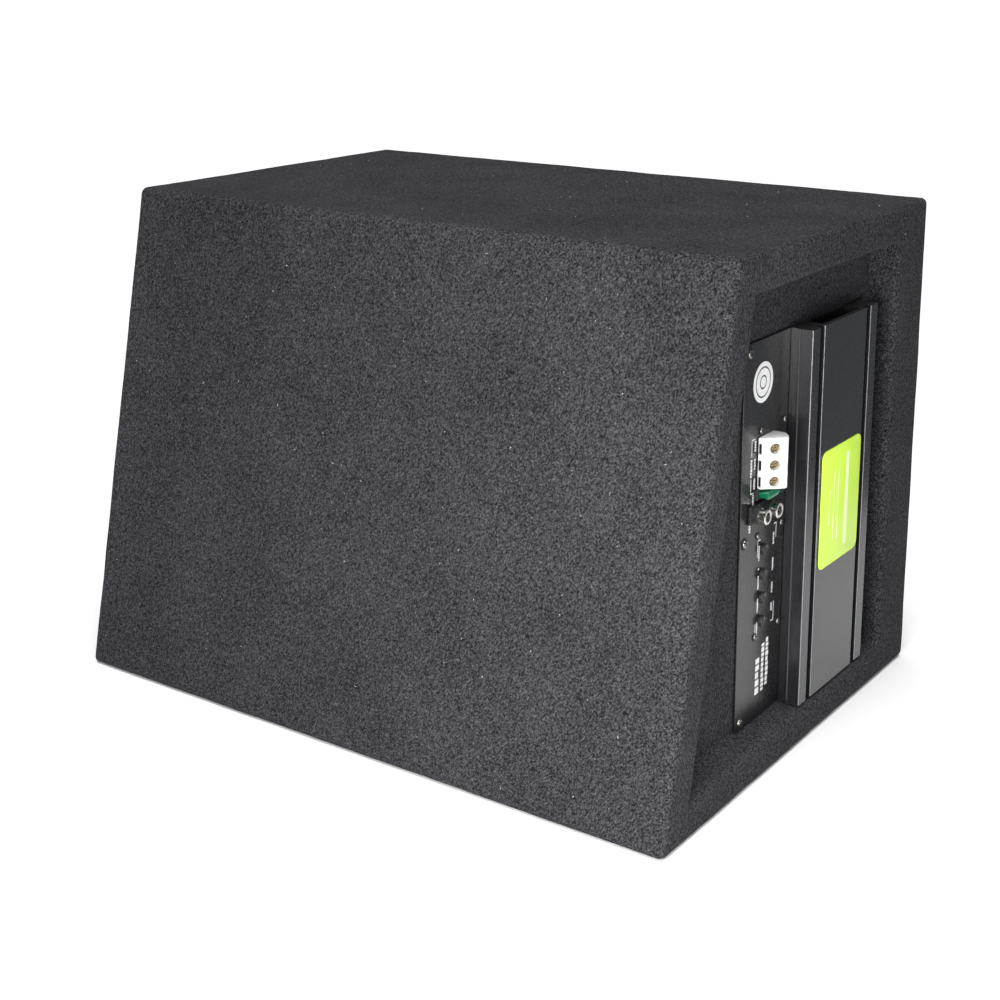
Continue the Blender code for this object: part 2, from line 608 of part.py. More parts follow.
def make_driver():
    """The 12-inch driver, front to back."""
    sheet = 0.0014
    front = -0.0020
    seat = -GAP
    outer = [
        (FLANGE_RADIUS, front),
        (FLANGE_RADIUS, seat),
        (0.1385, seat),
        (0.1360, 0.0300),
        (0.1240, 0.0420),
        (0.0860, 0.0640),
        (0.0800, 0.0800),
        (0.0290, 0.0800),
    ]
    inner = [(0.0290, 0.0800 - sheet), (0.0800 - sheet, 0.0800 - sheet), (0.0845, 0.0628), (0.1230, 0.0405)]
    inner += [(0.1346, 0.0290), (0.1370 - 0.0004, 0.0000), (0.1290, 0.0000), (0.1290, front)]
    basket = driver_piece("driver_basket", STEEL_BLACK, outer + inner)
    for i in range(6):
        angle = math.radians(30 + 60 * i)
        window = cuboid("basket_window_cutter_%d" % (i + 1), STEEL, (-0.028, -0.014, 0.078), (0.028, 0.014, 0.150))
        window.location = (DRIVER_X, FRONT_Y + 0.0550, DRIVER_Z)
        window.rotation_euler = (0, angle, 0)
        cut(basket, window)
    gasket = [(0.1395, -0.0045), (0.1545, -0.0045), (FLANGE_RADIUS, -0.0040), (FLANGE_RADIUS, front - GAP)]
    driver_piece("driver_gasket", RUBBER, gasket + [(0.1395, front - GAP)])
    driver_piece("driver_surround", RUBBER, surround_profile())
    cone = [(0.1090, -0.0008), (0.1095, 0.0000), (0.0262, 0.0430), (0.0257, 0.0422), (0.0257, 0.0410)]
    driver_piece("driver_cone", PAPER, cone)
    dome = [(0, -0.0060), (0.0150, -0.0052), (0.0300, -0.0022), (0.0420, 0.0032), (0.0520, 0.0110)]
    dome += [(0.0560, 0.0260 - 0.0008), (0.0555, 0.0258), (0.0505, 0.0118), (0.0410, 0.0044)]
    dome += [(0.0295, -0.0010), (0.0148, -0.0041), (0, -0.0049)]
    driver_piece("dust_cap", PAPER, dome, closed=False)
    coil = FORMER_RADIUS
    former = [(coil - 0.0003, 0.0400), (coil + 0.0002, 0.0400), (coil + 0.0002, 0.0960), (coil - 0.0003, 0.0960)]
    driver_piece("voice_coil_former", PAPER, former, 32)
    winding = [(coil + 0.0005, 0.0760), (coil + 0.0018, 0.0760), (coil + 0.0018, 0.0940), (coil + 0.0005, 0.0940)]
    driver_piece("voice_coil", COPPER, winding, 32)
    driver_piece("driver_spider", CLOTH, spider_profile(), 28)
    top_end = POLE_TOP + POLE_PLATE_THICK
    air = coil + 0.0035
    ring = [(air, POLE_TOP), (POLE_PLATE_RADIUS, POLE_TOP), (POLE_PLATE_RADIUS, top_end), (air, top_end)]
    driver_piece("magnet_top_plate", STEEL, ring, 32)
    start = top_end + GAP
    end = start + MAGNET_THICK
    ring = [(MAGNET_HOLE, start), (MAGNET_RADIUS, start), (MAGNET_RADIUS, end), (MAGNET_HOLE, end)]
    driver_piece("driver_magnet", FERRITE, ring, 32)
    back = end + GAP
    vent, pole = POLE_RADIUS
    yoke = [(vent, POLE_TOP), (pole, POLE_TOP), (pole, back), (POLE_PLATE_RADIUS, back)]
    yoke += [(POLE_PLATE_RADIUS, back + POLE_PLATE_THICK), (vent, back + POLE_PLATE_THICK)]
    driver_piece("magnet_back_plate", STEEL, yoke, 32)
    make_leads()


def surround_profile():
    """The half-roll surround with flat lips, glued to the basket outside and to the cone inside."""
    thick = 0.0011
    steps = 6
    centre = (ROLL_OUTER + ROLL_INNER) / 2
    radius = (ROLL_OUTER - ROLL_INNER) / 2
    base = -0.0023
    rise = ROLL_PROUD - thick + base
    lip_out = 0.1390
    lip_in = 0.1040
    front = []
    rear = []
    for i in range(steps + 1):
        angle = math.pi * (1 - i / steps)
        front.append((centre + radius * math.cos(angle), base - thick - rise * math.sin(angle)))
        inside = radius - thick
        rear.append((centre + inside * math.cos(angle), base - rise * math.sin(angle)))
    points = [(lip_in, base - thick)] + front + [(lip_out, base - thick), (lip_out, base)]
    return points + rear[::-1] + [(lip_in, base)]


def spider_profile():
    """The corrugated cloth disc that centres the voice coil."""
    inner = FORMER_RADIUS + 0.0006
    outer = 0.0800
    depth = 0.0600
    folds = 10
    wave = 0.0018
    top = []
    for i in range(folds + 1):
        side = wave if i % 2 else -wave
        top.append((inner + (outer - inner) * i / folds, depth - 0.0004 + side))
    bottom = [(radius, below + 0.0008) for radius, below in reversed(top)]
    return top + bottom


def make_leads():
    """The driver's terminal strip and the two leads that bring it the amplifier's output."""
    strip_x = DRIVER_X - 0.0905
    strip_y = FRONT_Y + 0.0700
    low = (strip_x - 0.0060, strip_y - 0.0050, DRIVER_Z - 0.0150)
    high = (strip_x, strip_y + 0.0050, DRIVER_Z + 0.0150)
    cuboid("driver_terminal_strip", BLACK_PLASTIC, low, high)
    exit_x = PLATE_X + GAP + CHASSIS_DEEP - 0.003
    for name, z, end_z in zip(("positive_lead", "negative_lead"), LEAD_Z[::-1], (DRIVER_Z + 0.008, DRIVER_Z - 0.008)):
        start = Vector((exit_x, dist_y(LEAD_DIST), z))
        end = Vector((low[0] - 0.0012, strip_y, end_z))
        out = Vector((1, 0, 0))
        points = []
        count = 22
        for i in range(count + 1):
            t = i / count
            a = start * (1 - t) ** 3
            b = (start + out * 0.045) * (3 * t * (1 - t) ** 2)
            c = (end - out * 0.050 + Vector((0, 0.030, 0))) * (3 * t * t * (1 - t))
            points.append(a + b + c + end * t**3)
        tube(name, RED_WIRE if name == "positive_lead" else BLACK_PLASTIC, points, LEAD_RADIUS)


# ---- build ----------------------------------------------------------------------------------------------------------
for old in list(bpy.data.objects):
    bpy.data.objects.remove(old, do_unlink=True)
PART = collection("powered_car_subwoofer")
CUTTERS = collection("cutters")

FIBREBOARD = material("fibreboard", (0.42, 0.30, 0.19), 0.80)
FELT = material("felt_carpet", (0.045, 0.045, 0.050), 0.95)
WADDING = material("wadding", (0.80, 0.80, 0.78), 0.95)
BLACK_METAL = material("black_metal", (0.020, 0.020, 0.024), 0.35, 0.6)
STEEL = material("steel", (0.55, 0.55, 0.56), 0.35, 1.0)
STEEL_BLACK = material("black_steel", (0.02, 0.02, 0.02), 0.45, 0.5)
GREEN_LABEL = material("green_label", (0.60, 0.90, 0.08), 0.40)
GREEN_PLASTIC = material("green_plastic", (0.02, 0.30, 0.12), 0.20)
CLEAR = material("clear_plastic", (0.80, 0.82, 0.84), 0.15)
BLACK_PLASTIC = material("black_plastic", (0.015, 0.015, 0.016), 0.45)
BRASS = material("brass", (0.70, 0.52, 0.22), 0.30, 1.0)
SILVER = material("silver", (0.80, 0.79, 0.76), 0.30, 1.0)
RUBBER = material("rubber", (0.015, 0.015, 0.015), 0.65)
PAPER = material("paper", (0.03, 0.03, 0.03), 0.75)
CLOTH = material("spider_cloth", (0.65, 0.50, 0.22), 0.90)
COPPER = material("copper", (0.72, 0.38, 0.20), 0.35, 1.0)
FERRITE = material("ferrite", (0.06, 0.06, 0.065), 0.60)
CIRCUIT = material("circuit", (0.02, 0.18, 0.07), 0.45)
CAN = material("capacitor_sleeve", (0.02, 0.02, 0.06), 0.40)
RED_WIRE = material("red_wire", (0.55, 0.02, 0.02), 0.45)

make_box()
make_carpet()
make_amplifier()
make_controls()
make_driver()
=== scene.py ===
"""The looks of the powered car subwoofer: felt carpet, plate amplifier, controls and 12-inch driver.

Lengths are metres in the frame's own axes: +Z up, the driver faces -Y, the amplifier is in the -X end. Places
on the amplifier are given as the distance from the carpeted front face (dist), the height, and how proud of
the plate they stand.
"""

import json
import math
import random

import bmesh
import bpy
from mathutils import Matrix, Vector, noise


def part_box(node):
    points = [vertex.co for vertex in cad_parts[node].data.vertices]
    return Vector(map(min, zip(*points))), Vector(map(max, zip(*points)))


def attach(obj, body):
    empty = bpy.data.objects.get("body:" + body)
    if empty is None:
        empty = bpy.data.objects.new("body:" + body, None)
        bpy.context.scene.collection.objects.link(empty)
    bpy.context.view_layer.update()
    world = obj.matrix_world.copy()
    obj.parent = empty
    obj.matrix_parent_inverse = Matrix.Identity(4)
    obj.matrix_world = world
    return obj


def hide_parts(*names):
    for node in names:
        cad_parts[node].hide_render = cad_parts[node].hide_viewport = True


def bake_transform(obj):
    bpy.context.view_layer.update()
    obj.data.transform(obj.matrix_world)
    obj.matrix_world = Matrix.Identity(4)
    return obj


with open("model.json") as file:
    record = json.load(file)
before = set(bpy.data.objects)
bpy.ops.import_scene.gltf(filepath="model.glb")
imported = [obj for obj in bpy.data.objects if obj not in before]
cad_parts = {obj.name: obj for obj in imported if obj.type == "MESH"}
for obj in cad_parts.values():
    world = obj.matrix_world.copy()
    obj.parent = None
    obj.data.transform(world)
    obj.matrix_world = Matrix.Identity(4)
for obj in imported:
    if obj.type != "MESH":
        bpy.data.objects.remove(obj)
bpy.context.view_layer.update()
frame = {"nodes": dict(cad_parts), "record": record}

# ---- driving values ----------------------------------------------------------------------------------------
FRONT_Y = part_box("carpet_wrap")[0].y
BACK_LOW_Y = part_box("carpet_bottom")[1].y
END_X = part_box("carpet_bottom")[1].x
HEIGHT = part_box("carpet_wrap")[1].z
FACE_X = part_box("amplifier_plate")[0].x
DRIVER_Z = (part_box("driver_gasket")[0].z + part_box("driver_gasket")[1].z) / 2
DEPTH_TOP = 0.280
SLOPE = (BACK_LOW_Y - FRONT_Y - DEPTH_TOP) / HEIGHT
SLANT = math.sqrt(1 + SLOPE * SLOPE)
RECESS_LOW = 0.025
RECESS_HIGH = 0.324
RECESS_FRONT = 0.048
RECESS_BACK_RIM = 0.028
CARPET = 0.0024
CARPET_EDGE = 0.0046  # width of the carpet's rounded edges
DRIVER_BORE = 0.1400
LIP_OUTER = 0.1390  # radii of the driver's surround
ROLL_OUTER = 0.1310
ROLL_INNER = 0.1110
LIP_INNER = 0.1040
SEED = 11

KNOBS = ("level_knob", "low_pass_knob", "bass_boost_knob", "phase_knob")
TERMINALS = ("earth", "remote", "supply")

PLATE_OUT = Vector((-1, 0, 0))
FRONT_OUT = Vector((0, -1, 0))
BACK_OUT = Vector((0, 1, SLOPE)).normalized()
TOP_OUT = Vector((0, 0, 1))
UNDER_OUT = Vector((0, 0, -1))


def at(dist, z, proud=0.0):
    """A point over the amplifier plate."""
    return Vector((FACE_X - proud, FRONT_Y + dist, z))


def back_y(z, inset=0.0):
    """The Y of the sloped back at a height, or of a plane that lies inset behind it."""
    return FRONT_Y + DEPTH_TOP + SLOPE * (HEIGHT - z) - inset * SLANT


# ---- materials ---------------------------------------------------------------------------------------------
class Surface:
    """A Principled material with short calls for its texture nodes."""

    def __init__(self, name, colour, roughness=0.5, **sockets):
        self.material = bpy.data.materials.new(name)
        self.material.use_nodes = True
        self.tree = self.material.node_tree
        self.shader = self.tree.nodes["Principled BSDF"]
        self.shader.inputs["Base Color"].default_value = (*colour, 1.0)
        self.shader.inputs["Roughness"].default_value = roughness
        for socket, value in sockets.items():
            self.shader.inputs[socket.replace("_", " ")].default_value = value
        self.place = self.tree.nodes.new("ShaderNodeTexCoord").outputs["Object"]

    def link(self, output, socket):
        """Drives one of the shader's sockets."""
        self.tree.links.new(output, self.shader.inputs[socket])

    def stretched(self, scale, turn=(0.0, 0.0, 0.0)):
        """Coordinates turned, then stretched by a factor along each axis."""
        node = self.tree.nodes.new("ShaderNodeMapping")
        node.vector_type = "TEXTURE" if any(turn) else "POINT"
        node.inputs["Rotation"].default_value = turn
        node.inputs["Scale"].default_value = tuple(1 / part for part in scale) if any(turn) else scale
        self.tree.links.new(self.place, node.inputs["Vector"])
        return node.outputs["Vector"]

    def grain(self, scale, detail=3.0, roughness=0.6, distortion=0.0, place=None):
        """Noise with about scale features to the metre."""
        node = self.tree.nodes.new("ShaderNodeTexNoise")
        node.inputs["Scale"].default_value = scale
        node.inputs["Detail"].default_value = detail
        node.inputs["Roughness"].default_value = roughness
        node.inputs["Distortion"].default_value = distortion
        self.tree.links.new(place or self.place, node.inputs["Vector"])
        return node.outputs["Fac"]

    def cells(self, scale, output="Distance"):
        """A cell pattern with about scale cells to the metre."""
        node = self.tree.nodes.new("ShaderNodeTexVoronoi")
        node.inputs["Scale"].default_value = scale
        self.tree.links.new(self.place, node.inputs["Vector"])
        return node.outputs[output]

    def level(self, value, low, high, to_low=0.0, to_high=1.0):
        """A value's range mapped to another, with the ends held."""
        node = self.tree.nodes.new("ShaderNodeMapRange")
        ends = {"From Min": low, "From Max": high, "To Min": to_low, "To Max": to_high}
        for socket, number in ends.items():
            node.inputs[socket].default_value = number
        self.tree.links.new(value, node.inputs["Value"])
        return node.outputs["Result"]

    def maths(self, operation, first, second):
        """Arithmetic on two values, each an output or a number."""
        node = self.tree.nodes.new("ShaderNodeMath")
        node.operation = operation
        for socket, value in zip(node.inputs, (first, second)):
            if isinstance(value, (int, float)):
                socket.default_value = value
            else:
                self.tree.links.new(value, socket)
        return node.outputs["Value"]

    def blend(self, factor, first, second):
        """A mix of two colours, each an output or three numbers."""
        node = self.tree.nodes.new("ShaderNodeMix")
        node.data_type = "RGBA"
        self.tree.links.new(factor, node.inputs["Factor"])
        for socket, value in zip((node.inputs[6], node.inputs[7]), (first, second)):
            if isinstance(value, tuple):
                socket.default_value = (*value, 1.0)
            else:
                self.tree.links.new(value, socket)
        return node.outputs[2]

    def bump(self, height, distance, strength=1.0):
        """Raises the surface by a height pattern."""
        node = self.tree.nodes.new("ShaderNodeBump")
        node.inputs["Strength"].default_value = strength
        node.inputs["Distance"].default_value = distance
        self.tree.links.new(height, node.inputs["Height"])
        self.link(node.outputs["Normal"], "Normal")

    def coloured(self, low, high, grain, span=(0, 1), stretch=None):
        """Colours the surface from low to high over a noise pattern, and gives the pattern."""
        pattern = self.grain(*grain, place=self.stretched(stretch) if stretch else None)
        self.link(self.blend(self.level(pattern, *span), low, high), "Base Color")
        return pattern


def felt():
    """Charcoal needle-felt carpet: matted light and dark fibres, with a few pale flecks of lint."""
    made = Surface("charcoal_felt", (0.03, 0.03, 0.032), 0.96, Sheen_Weight=0.015, Sheen_Roughness=0.6)
    made.shader.inputs["Specular IOR Level"].default_value = 0.06
    slant = made.stretched((1.0, 1.0, 0.68), (0.0, math.radians(-32), 0.0))
    fibres = made.grain(980, 2.0, 0.6, 0.2, slant)
    fine = made.grain(480, 1.0, 0.5, 0.0, slant)
    patches = made.grain(14, 2.0, 0.5)
    tone = made.maths("ADD", made.level(fibres, 0.28, 0.77), made.level(fine, 0.3, 0.7, -0.12, 0.12))
    tone = made.maths("ADD", tone, made.level(patches, 0.3, 0.7, -0.05, 0.05))
    tone = made.maths("POWER", made.level(tone, 0.0, 1.0), 1.6)
    colour = made.blend(tone, (0.0040, 0.0040, 0.0044), (0.088, 0.086, 0.096))
    near = made.level(made.cells(95), 0.035, 0.05, 1.0, 0.0)
    chosen = made.level(made.cells(95, "Color"), 0.84, 0.86)
    fleck = made.maths("MULTIPLY", near, chosen)
    made.link(made.blend(fleck, colour, (0.30, 0.30, 0.28)), "Base Color")
    made.bump(fibres, 0.0008, 0.8)
    return made.material


def scaled(colour, factor):
    """A lighter or darker colour."""
    return tuple(min(1.0, part * factor) for part in colour)


def textured(name, roughness, low, high, grain, span=(0, 1), bump=None, stretch=None, **sockets):
    """A material whose colour runs from low to high over a noise pattern, which can raise the surface too."""
    made = Surface(name, high, roughness, **sockets)
    pattern = made.coloured(low, high, grain, span, stretch)
    if bump:
        made.bump(pattern, *bump)
    return made.material


def black_metal(name, roughness, scale, tone):
    """Black coated or anodised aluminium with a very fine grain."""
    made = Surface(name, (tone, tone, tone * 1.12), roughness, IOR=1.62)
    fine = made.grain(scale, 2.0)
    made.link(made.level(fine, 0.3, 0.7, roughness - 0.05, roughness + 0.05), "Roughness")
    made.bump(fine, 0.00005, 0.35)
    return made.material


def metal(name, colour, roughness):
    """Plated or bare metal with faint uneven polish."""
    made = Surface(name, colour, roughness, Metallic=1.0)
    wear = made.coloured(scaled(colour, 0.72), colour, (900, 3), (0.35, 0.65))
    made.link(made.level(wear, 0.3, 0.7, roughness - 0.06, roughness + 0.10), "Roughness")
    made.bump(wear, 0.00004, 0.4)
    return made.material


def plastic(name, colour, roughness, scale=1500, lift=0.00006):
    """Moulded plastic with a fine grain and a slightly uneven colour."""
    low = scaled(colour, 0.86)
    return textured(name, roughness, low, scaled(colour, 1.12), (scale, 2), (0.3, 0.7), (lift, 0.5))


def clear_plastic(name, colour, weight, roughness=0.16):
    """Clear or tinted plastic, a little milky."""
    bump = (0.00012, 0.5)
    sockets = {"IOR": 1.49, "Transmission_Weight": weight}
    return textured(name, roughness, scaled(colour, 0.80), colour, (240, 3), (0.3, 0.7), bump, **sockets)


def rubber(name, tone, roughness):
    """Moulded black rubber with a faint bloom."""
    made = Surface(name, (tone, tone, tone), roughness)
    made.coloured((tone, tone, tone), (tone * 2.1, tone * 2.1, tone * 2.2), (35, 4))
    made.bump(made.grain(1300, 2.0), 0.00006, 0.5)
    return made.material


def board():
    """Raw fibreboard: warm, matted and slightly speckled."""
    made = Surface("raw_fibreboard", (0.42, 0.30, 0.19), 0.85)
    mat = made.grain(420, 4.0, 0.65, 0.6)
    speck = made.level(made.cells(380), 0.10, 0.22, 0.75, 0.0)
    colour = made.blend(mat, (0.30, 0.20, 0.12), (0.52, 0.39, 0.26))
    made.link(made.blend(speck, colour, (0.16, 0.10, 0.06)), "Base Color")
    made.bump(mat, 0.0002, 0.6)
    return made.material


def circuit():
    """A green circuit board with lighter tracks."""
    made = Surface("green_circuit_board", (0.02, 0.18, 0.07), 0.35)
    tracks = made.level(made.cells(160), 0.28, 0.30)
    made.link(made.blend(tracks, (0.05, 0.26, 0.09), (0.015, 0.13, 0.05)), "Base Color")
    made.bump(tracks, 0.00005, 0.6)
    return made.material


def film(name, colour, roughness):
    """Printed film or ink."""
    return textured(name, roughness, scaled(colour, 0.95), colour, (1100, 2), bump=(0.00002, 0.4))


FELT = felt()
FIBRE = textured("felt_fibres", 0.9, (0.010, 0.010, 0.011), (0.085, 0.085, 0.090), (160, 1), (0.35, 0.68))
LINT = textured("pale_lint", 0.9, (0.16, 0.16, 0.15), (0.52, 0.51, 0.47), (160, 1), (0.35, 0.68))
PLATE_BLACK = black_metal("satin_black_plate", 0.27, 2600, 0.0085)
SINK_BLACK = black_metal("black_anodised", 0.25, 3200, 0.011)
SAWN = textured(
    "sawn_end", 0.42, (0.012, 0.012, 0.013), (0.045, 0.045, 0.047), (1800, 2),
    bump=(0.00008, 0.5), stretch=(1.0, 0.12, 1.0), Metallic=0.4,
)
# a lighter grey metal laid only on the heatsink's rounded edges that face the camera's side: a painted glint
EDGE = metal("painted_glint_edge", (0.30, 0.30, 0.32), 0.30)
SCREW_HEAD = metal("dark_zinc", (0.30, 0.29, 0.27), 0.24)
STEEL = metal("zinc_plate", (0.60, 0.60, 0.61), 0.34)
BRIGHT = metal("bright_plate", (0.74, 0.73, 0.71), 0.22)
NICKEL = metal("nickel_plate", (0.83, 0.81, 0.77), 0.20)
# brass colour darkened to stand in for the shade of the deep bores the terminal screws sit in: painted shade
BRASS = metal("brass_darkened_as_painted_bore_shade", (0.36, 0.29, 0.15), 0.22)
CAGE = metal("dark_contact_cage", (0.035, 0.033, 0.030), 0.5)
DARK_STEEL = metal("blackened_steel", (0.10, 0.10, 0.105), 0.38)
COPPER = textured(
    "copper_winding", 0.35, (0.273, 0.140, 0.070), (0.78, 0.40, 0.20), (2600, 1), (0.4, 0.6),
    bump=(0.0003, 0.7), stretch=(1.0, 0.08, 0.08), Metallic=1.0,
)
KNOB_BLACK = plastic("knob_plastic", (0.012, 0.012, 0.013), 0.42)
BLACK_PLASTIC = plastic("black_plastic", (0.016, 0.016, 0.017), 0.48)
SLEEVE = plastic("capacitor_sleeve", (0.02, 0.02, 0.07), 0.30)
AMBER = plastic("amber_film", (0.55, 0.33, 0.10), 0.30)
FERRITE = plastic("ferrite", (0.055, 0.055, 0.060), 0.62, 700, 0.0002)
RED_LEAD = plastic("red_insulation", (0.50, 0.02, 0.02), 0.40)
# a dark insulator: painted shade of the jack's inside, which lies deep in the barrel
JACK_CORE = plastic("jack_insulator", (0.03, 0.035, 0.035), 0.35)
COATED = plastic("black_powder_coat", (0.014, 0.014, 0.014), 0.40, 2200, 0.00008)
CLEAR = clear_plastic("milky_clear_plastic", (0.97, 0.97, 0.97), 0.12)
LENS = clear_plastic("clear_lens", (0.95, 0.95, 0.95), 0.85, 0.08)
GREEN = clear_plastic("green_clear_plastic", (0.003, 0.23, 0.10), 0.45, 0.08)
LABEL = film("lime_label", (0.60, 0.88, 0.075), 0.38)
LABEL_PRINT = film("pale_label_print", (0.80, 0.93, 0.50), 0.42)
INK = film("white_ink", (0.78, 0.78, 0.78), 0.55)
GREY_INK = film("grey_ink", (0.22, 0.22, 0.22), 0.55)
RUBBER = rubber("black_rubber", 0.014, 0.52)
GASKET = rubber("gasket_foam", 0.016, 0.72)
PULP = textured(
    "pressed_pulp", 0.72, (0.011, 0.011, 0.012), (0.042, 0.042, 0.044), (520, 4, 0.7, 0.8), (0.36, 0.66),
    bump=(0.00035, 0.6),
)
CLOTH = textured(
    "spider_cloth", 0.85, (0.42, 0.30, 0.11), (0.72, 0.57, 0.28), (1500, 2),
    bump=(0.0002, 0.6), stretch=(1.0, 1.0, 0.2),
)
WADDING = textured(
    "white_wadding", 0.95, (0.62, 0.62, 0.60), (0.88, 0.88, 0.87), (90, 5, 0.7, 1.5), bump=(0.004, 0.8)
)
CIRCUIT = circuit()
BOARD = board()


# ---- mesh helpers ------------------------------------------------------------------------------------------
BODY_OF = {node: body for body, nodes in frame["record"]["behaviour"]["bodies"].items() for node in nodes}
SLOT_OF = {part["node"]: part["material_slot"] for part in frame["record"]["subparts"]}


def new_object(name, data):
    """Mesh, light or camera data as an object of the scene."""
    obj = bpy.data.objects.new(name, data)
    bpy.context.scene.collection.objects.link(obj)
    return obj


def built(name, bm, looks=(), sharp=0, outward=True):
    """Turns a bmesh into an object, which is shaded smooth if it is given an angle for its sharp edges."""
    if outward:
        bmesh.ops.recalc_face_normals(bm, faces=bm.faces)
    mesh = bpy.data.meshes.new(name)
    bm.to_mesh(mesh)
    bm.free()
    for look in looks:
        mesh.materials.append(look)
    if sharp:
        mesh.shade_smooth()
        mesh.set_sharp_from_angle(angle=math.radians(sharp))
    return new_object(name, mesh)


def belongs(obj, body, slot, *replaced):
    """Lets a piece ride on a body and hides the CAD nodes that it stands for; the slot of the record is not
    used.
    """
    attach(obj, body)
    if replaced:
        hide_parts(*replaced)
    return obj


def finish_mesh(name, bm, looks, body, slot, replaced=(), sharp=35):
    """Makes a bmesh a new piece that rides on a body."""
    return belongs(built(name, bm, looks, sharp), body, slot, *replaced)


def detailed(node, bm, looks, sharp=35):
    """Makes a bmesh the piece that stands for a CAD node, on the node's body."""
    return finish_mesh(node + "_detailed", bm, looks, BODY_OF[node], SLOT_OF[node], (node,), sharp)


def apply_modifiers(obj):
    """Turns an object's modifiers into its mesh."""
    graph = bpy.context.evaluated_depsgraph_get()
    mesh = bpy.data.meshes.new_from_object(obj.evaluated_get(graph))
    obj.modifiers.clear()
    old = obj.data
    obj.data = mesh
    bpy.data.meshes.remove(old)


def facing(centre, pole):
    """A placement whose local Z points along pole."""
    turn = Vector(pole).to_track_quat("Z", "Y").to_matrix().to_4x4()
    return Matrix.Translation(centre) @ turn


def lathe(bm, profile, steps, place, slot=0, squeeze=None):
    """Turns a (radius, height) profile about the local Z and adds it to a bmesh."""
    rings = []
    for radius, height in profile:
        if radius < 1e-6:
            rings.append([bm.verts.new(place @ Vector((0, 0, height)))])
            continue
        ring = []
        for k in range(steps):
            angle = math.tau * k / steps
            wide = radius * (squeeze(angle, radius, height) if squeeze else 1.0)
            point = Vector((wide * math.cos(angle), wide * math.sin(angle), height))
            ring.append(bm.verts.new(place @ point))
        rings.append(ring)
    for first, second in zip(rings, rings[1:]):
        for k in range(steps):
            corners = [first[k % len(first)], first[(k + 1) % len(first)]]
            corners += [second[(k + 1) % len(second)], second[k % len(second)]]
            unique = list(dict.fromkeys(corners))
            if len(unique) > 2:
                bm.faces.new(unique).material_index = slot


def band(bm, first, second, slot=0):
    """Joins two closed rings of the same number of points with faces."""
    count = len(first)
    for k in range(count):
        after = (k + 1) % count
        bm.faces.new((first[k], first[after], second[after], second[k])).material_index = slot


def brick(bm, low, high, slot=0, bevel=0.0, place=None):
    """Adds a box with rounded edges to a bmesh."""
    low = Vector(low)
    high = Vector(high)
    fit = Matrix.Translation((low + high) / 2) @ Matrix.Diagonal((*(high - low), 1.0))
    verts = bmesh.ops.create_cube(bm, size=1.0, matrix=fit)["verts"]
    if bevel:
        edges = list({edge for vert in verts for edge in vert.link_edges})
        done = bmesh.ops.bevel(bm, geom=edges, offset=bevel, segments=2, profile=0.5, affect="EDGES")
        verts = list({vert for face in done["faces"] for vert in face.verts})
    faces = {face for vert in verts for face in vert.link_faces}
    for face in faces:
        face.material_index = slot
    if place is not None:
        bmesh.ops.transform(bm, matrix=place, verts=verts)


def extruded(bm, outline, direction, slot=0, cap_slot=0, bevel=0.0):
    """Adds an outline of points swept along a direction, with optional rounded ends."""
    start = [bm.verts.new(point) for point in outline]
    end = [bm.verts.new(Vector(point) + direction) for point in outline]
    band(bm, start, end, slot)
    caps = [bm.faces.new(start[::-1]), bm.faces.new(end)]
    for face in caps:
        face.material_index = cap_slot
    if bevel:
        edges = list({edge for face in caps for edge in face.edges})
        bmesh.ops.bevel(bm, geom=edges, offset=bevel, segments=2, profile=0.5, affect="EDGES")


def rounded_corners(points, radius, steps=4):
    """An outline with each corner rounded, where radius is one number or one for each corner."""
    result = []
    count = len(points)
    for k in range(count):
        here = Vector(points[k])
        before = Vector(points[k - 1])
        after = Vector(points[(k + 1) % count])
        reach = radius[k] if isinstance(radius, (list, tuple)) else radius
        reach = min(reach, (before - here).length * 0.45, (after - here).length * 0.45)
        if reach < 1e-6:
            result.append(here)
            continue
        start = here + (before - here).normalized() * reach
        end = here + (after - here).normalized() * reach
        for i in range(steps + 1):
            t = i / steps
            result.append(start * (1 - t) ** 2 + here * (2 * t * (1 - t)) + end * t * t)
    return result


def softened(node, width, look):
    """A copy of a CAD node with rounded edges, which stands for it."""
    bm = bmesh.new()
    bm.from_mesh(frame["nodes"][node].data)
    bmesh.ops.remove_doubles(bm, verts=bm.verts, dist=0.00001)
    bmesh.ops.dissolve_limit(bm, angle_limit=math.radians(1.0), verts=bm.verts, edges=bm.edges)
    corner = math.radians(30)
    sharp = [edge for edge in bm.edges if len(edge.link_faces) == 2 and edge.calc_face_angle(0) > corner]
    bmesh.ops.bevel(bm, geom=sharp, offset=width, segments=2, profile=0.5, affect="EDGES")
    return detailed(node, bm, [look], 20)


def plate_seat(node):
    """The point of the plate's face under a node, and the node's height over it and radius."""
    lo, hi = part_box(node)
    centre = Vector((FACE_X, (lo.y + hi.y) / 2, (lo.z + hi.z) / 2))
    return centre, FACE_X - lo.x, (hi.z - lo.z) / 2


DRIVER_PLACE = facing((0, FRONT_Y, DRIVER_Z), FRONT_OUT)  # local Z points out of the box


# ---- carpet ------------------------------------------------------------------------------------------------
def prism(name, outline, x0, x1):
    """A helper object: an outline in Y and Z swept along X."""
    bm = bmesh.new()
    extruded(bm, [(x0, y, z) for y, z in outline], Vector((x1 - x0, 0, 0)))
    return built(name, bm)


def subtract(obj, cutter):
    """Cuts a helper out of an object and removes the helper."""
    boolean = obj.modifiers.new("cut", "BOOLEAN")
    boolean.object = cutter
    boolean.operation = "DIFFERENCE"
    apply_modifiers(obj)
    bpy.data.objects.remove(cutter)


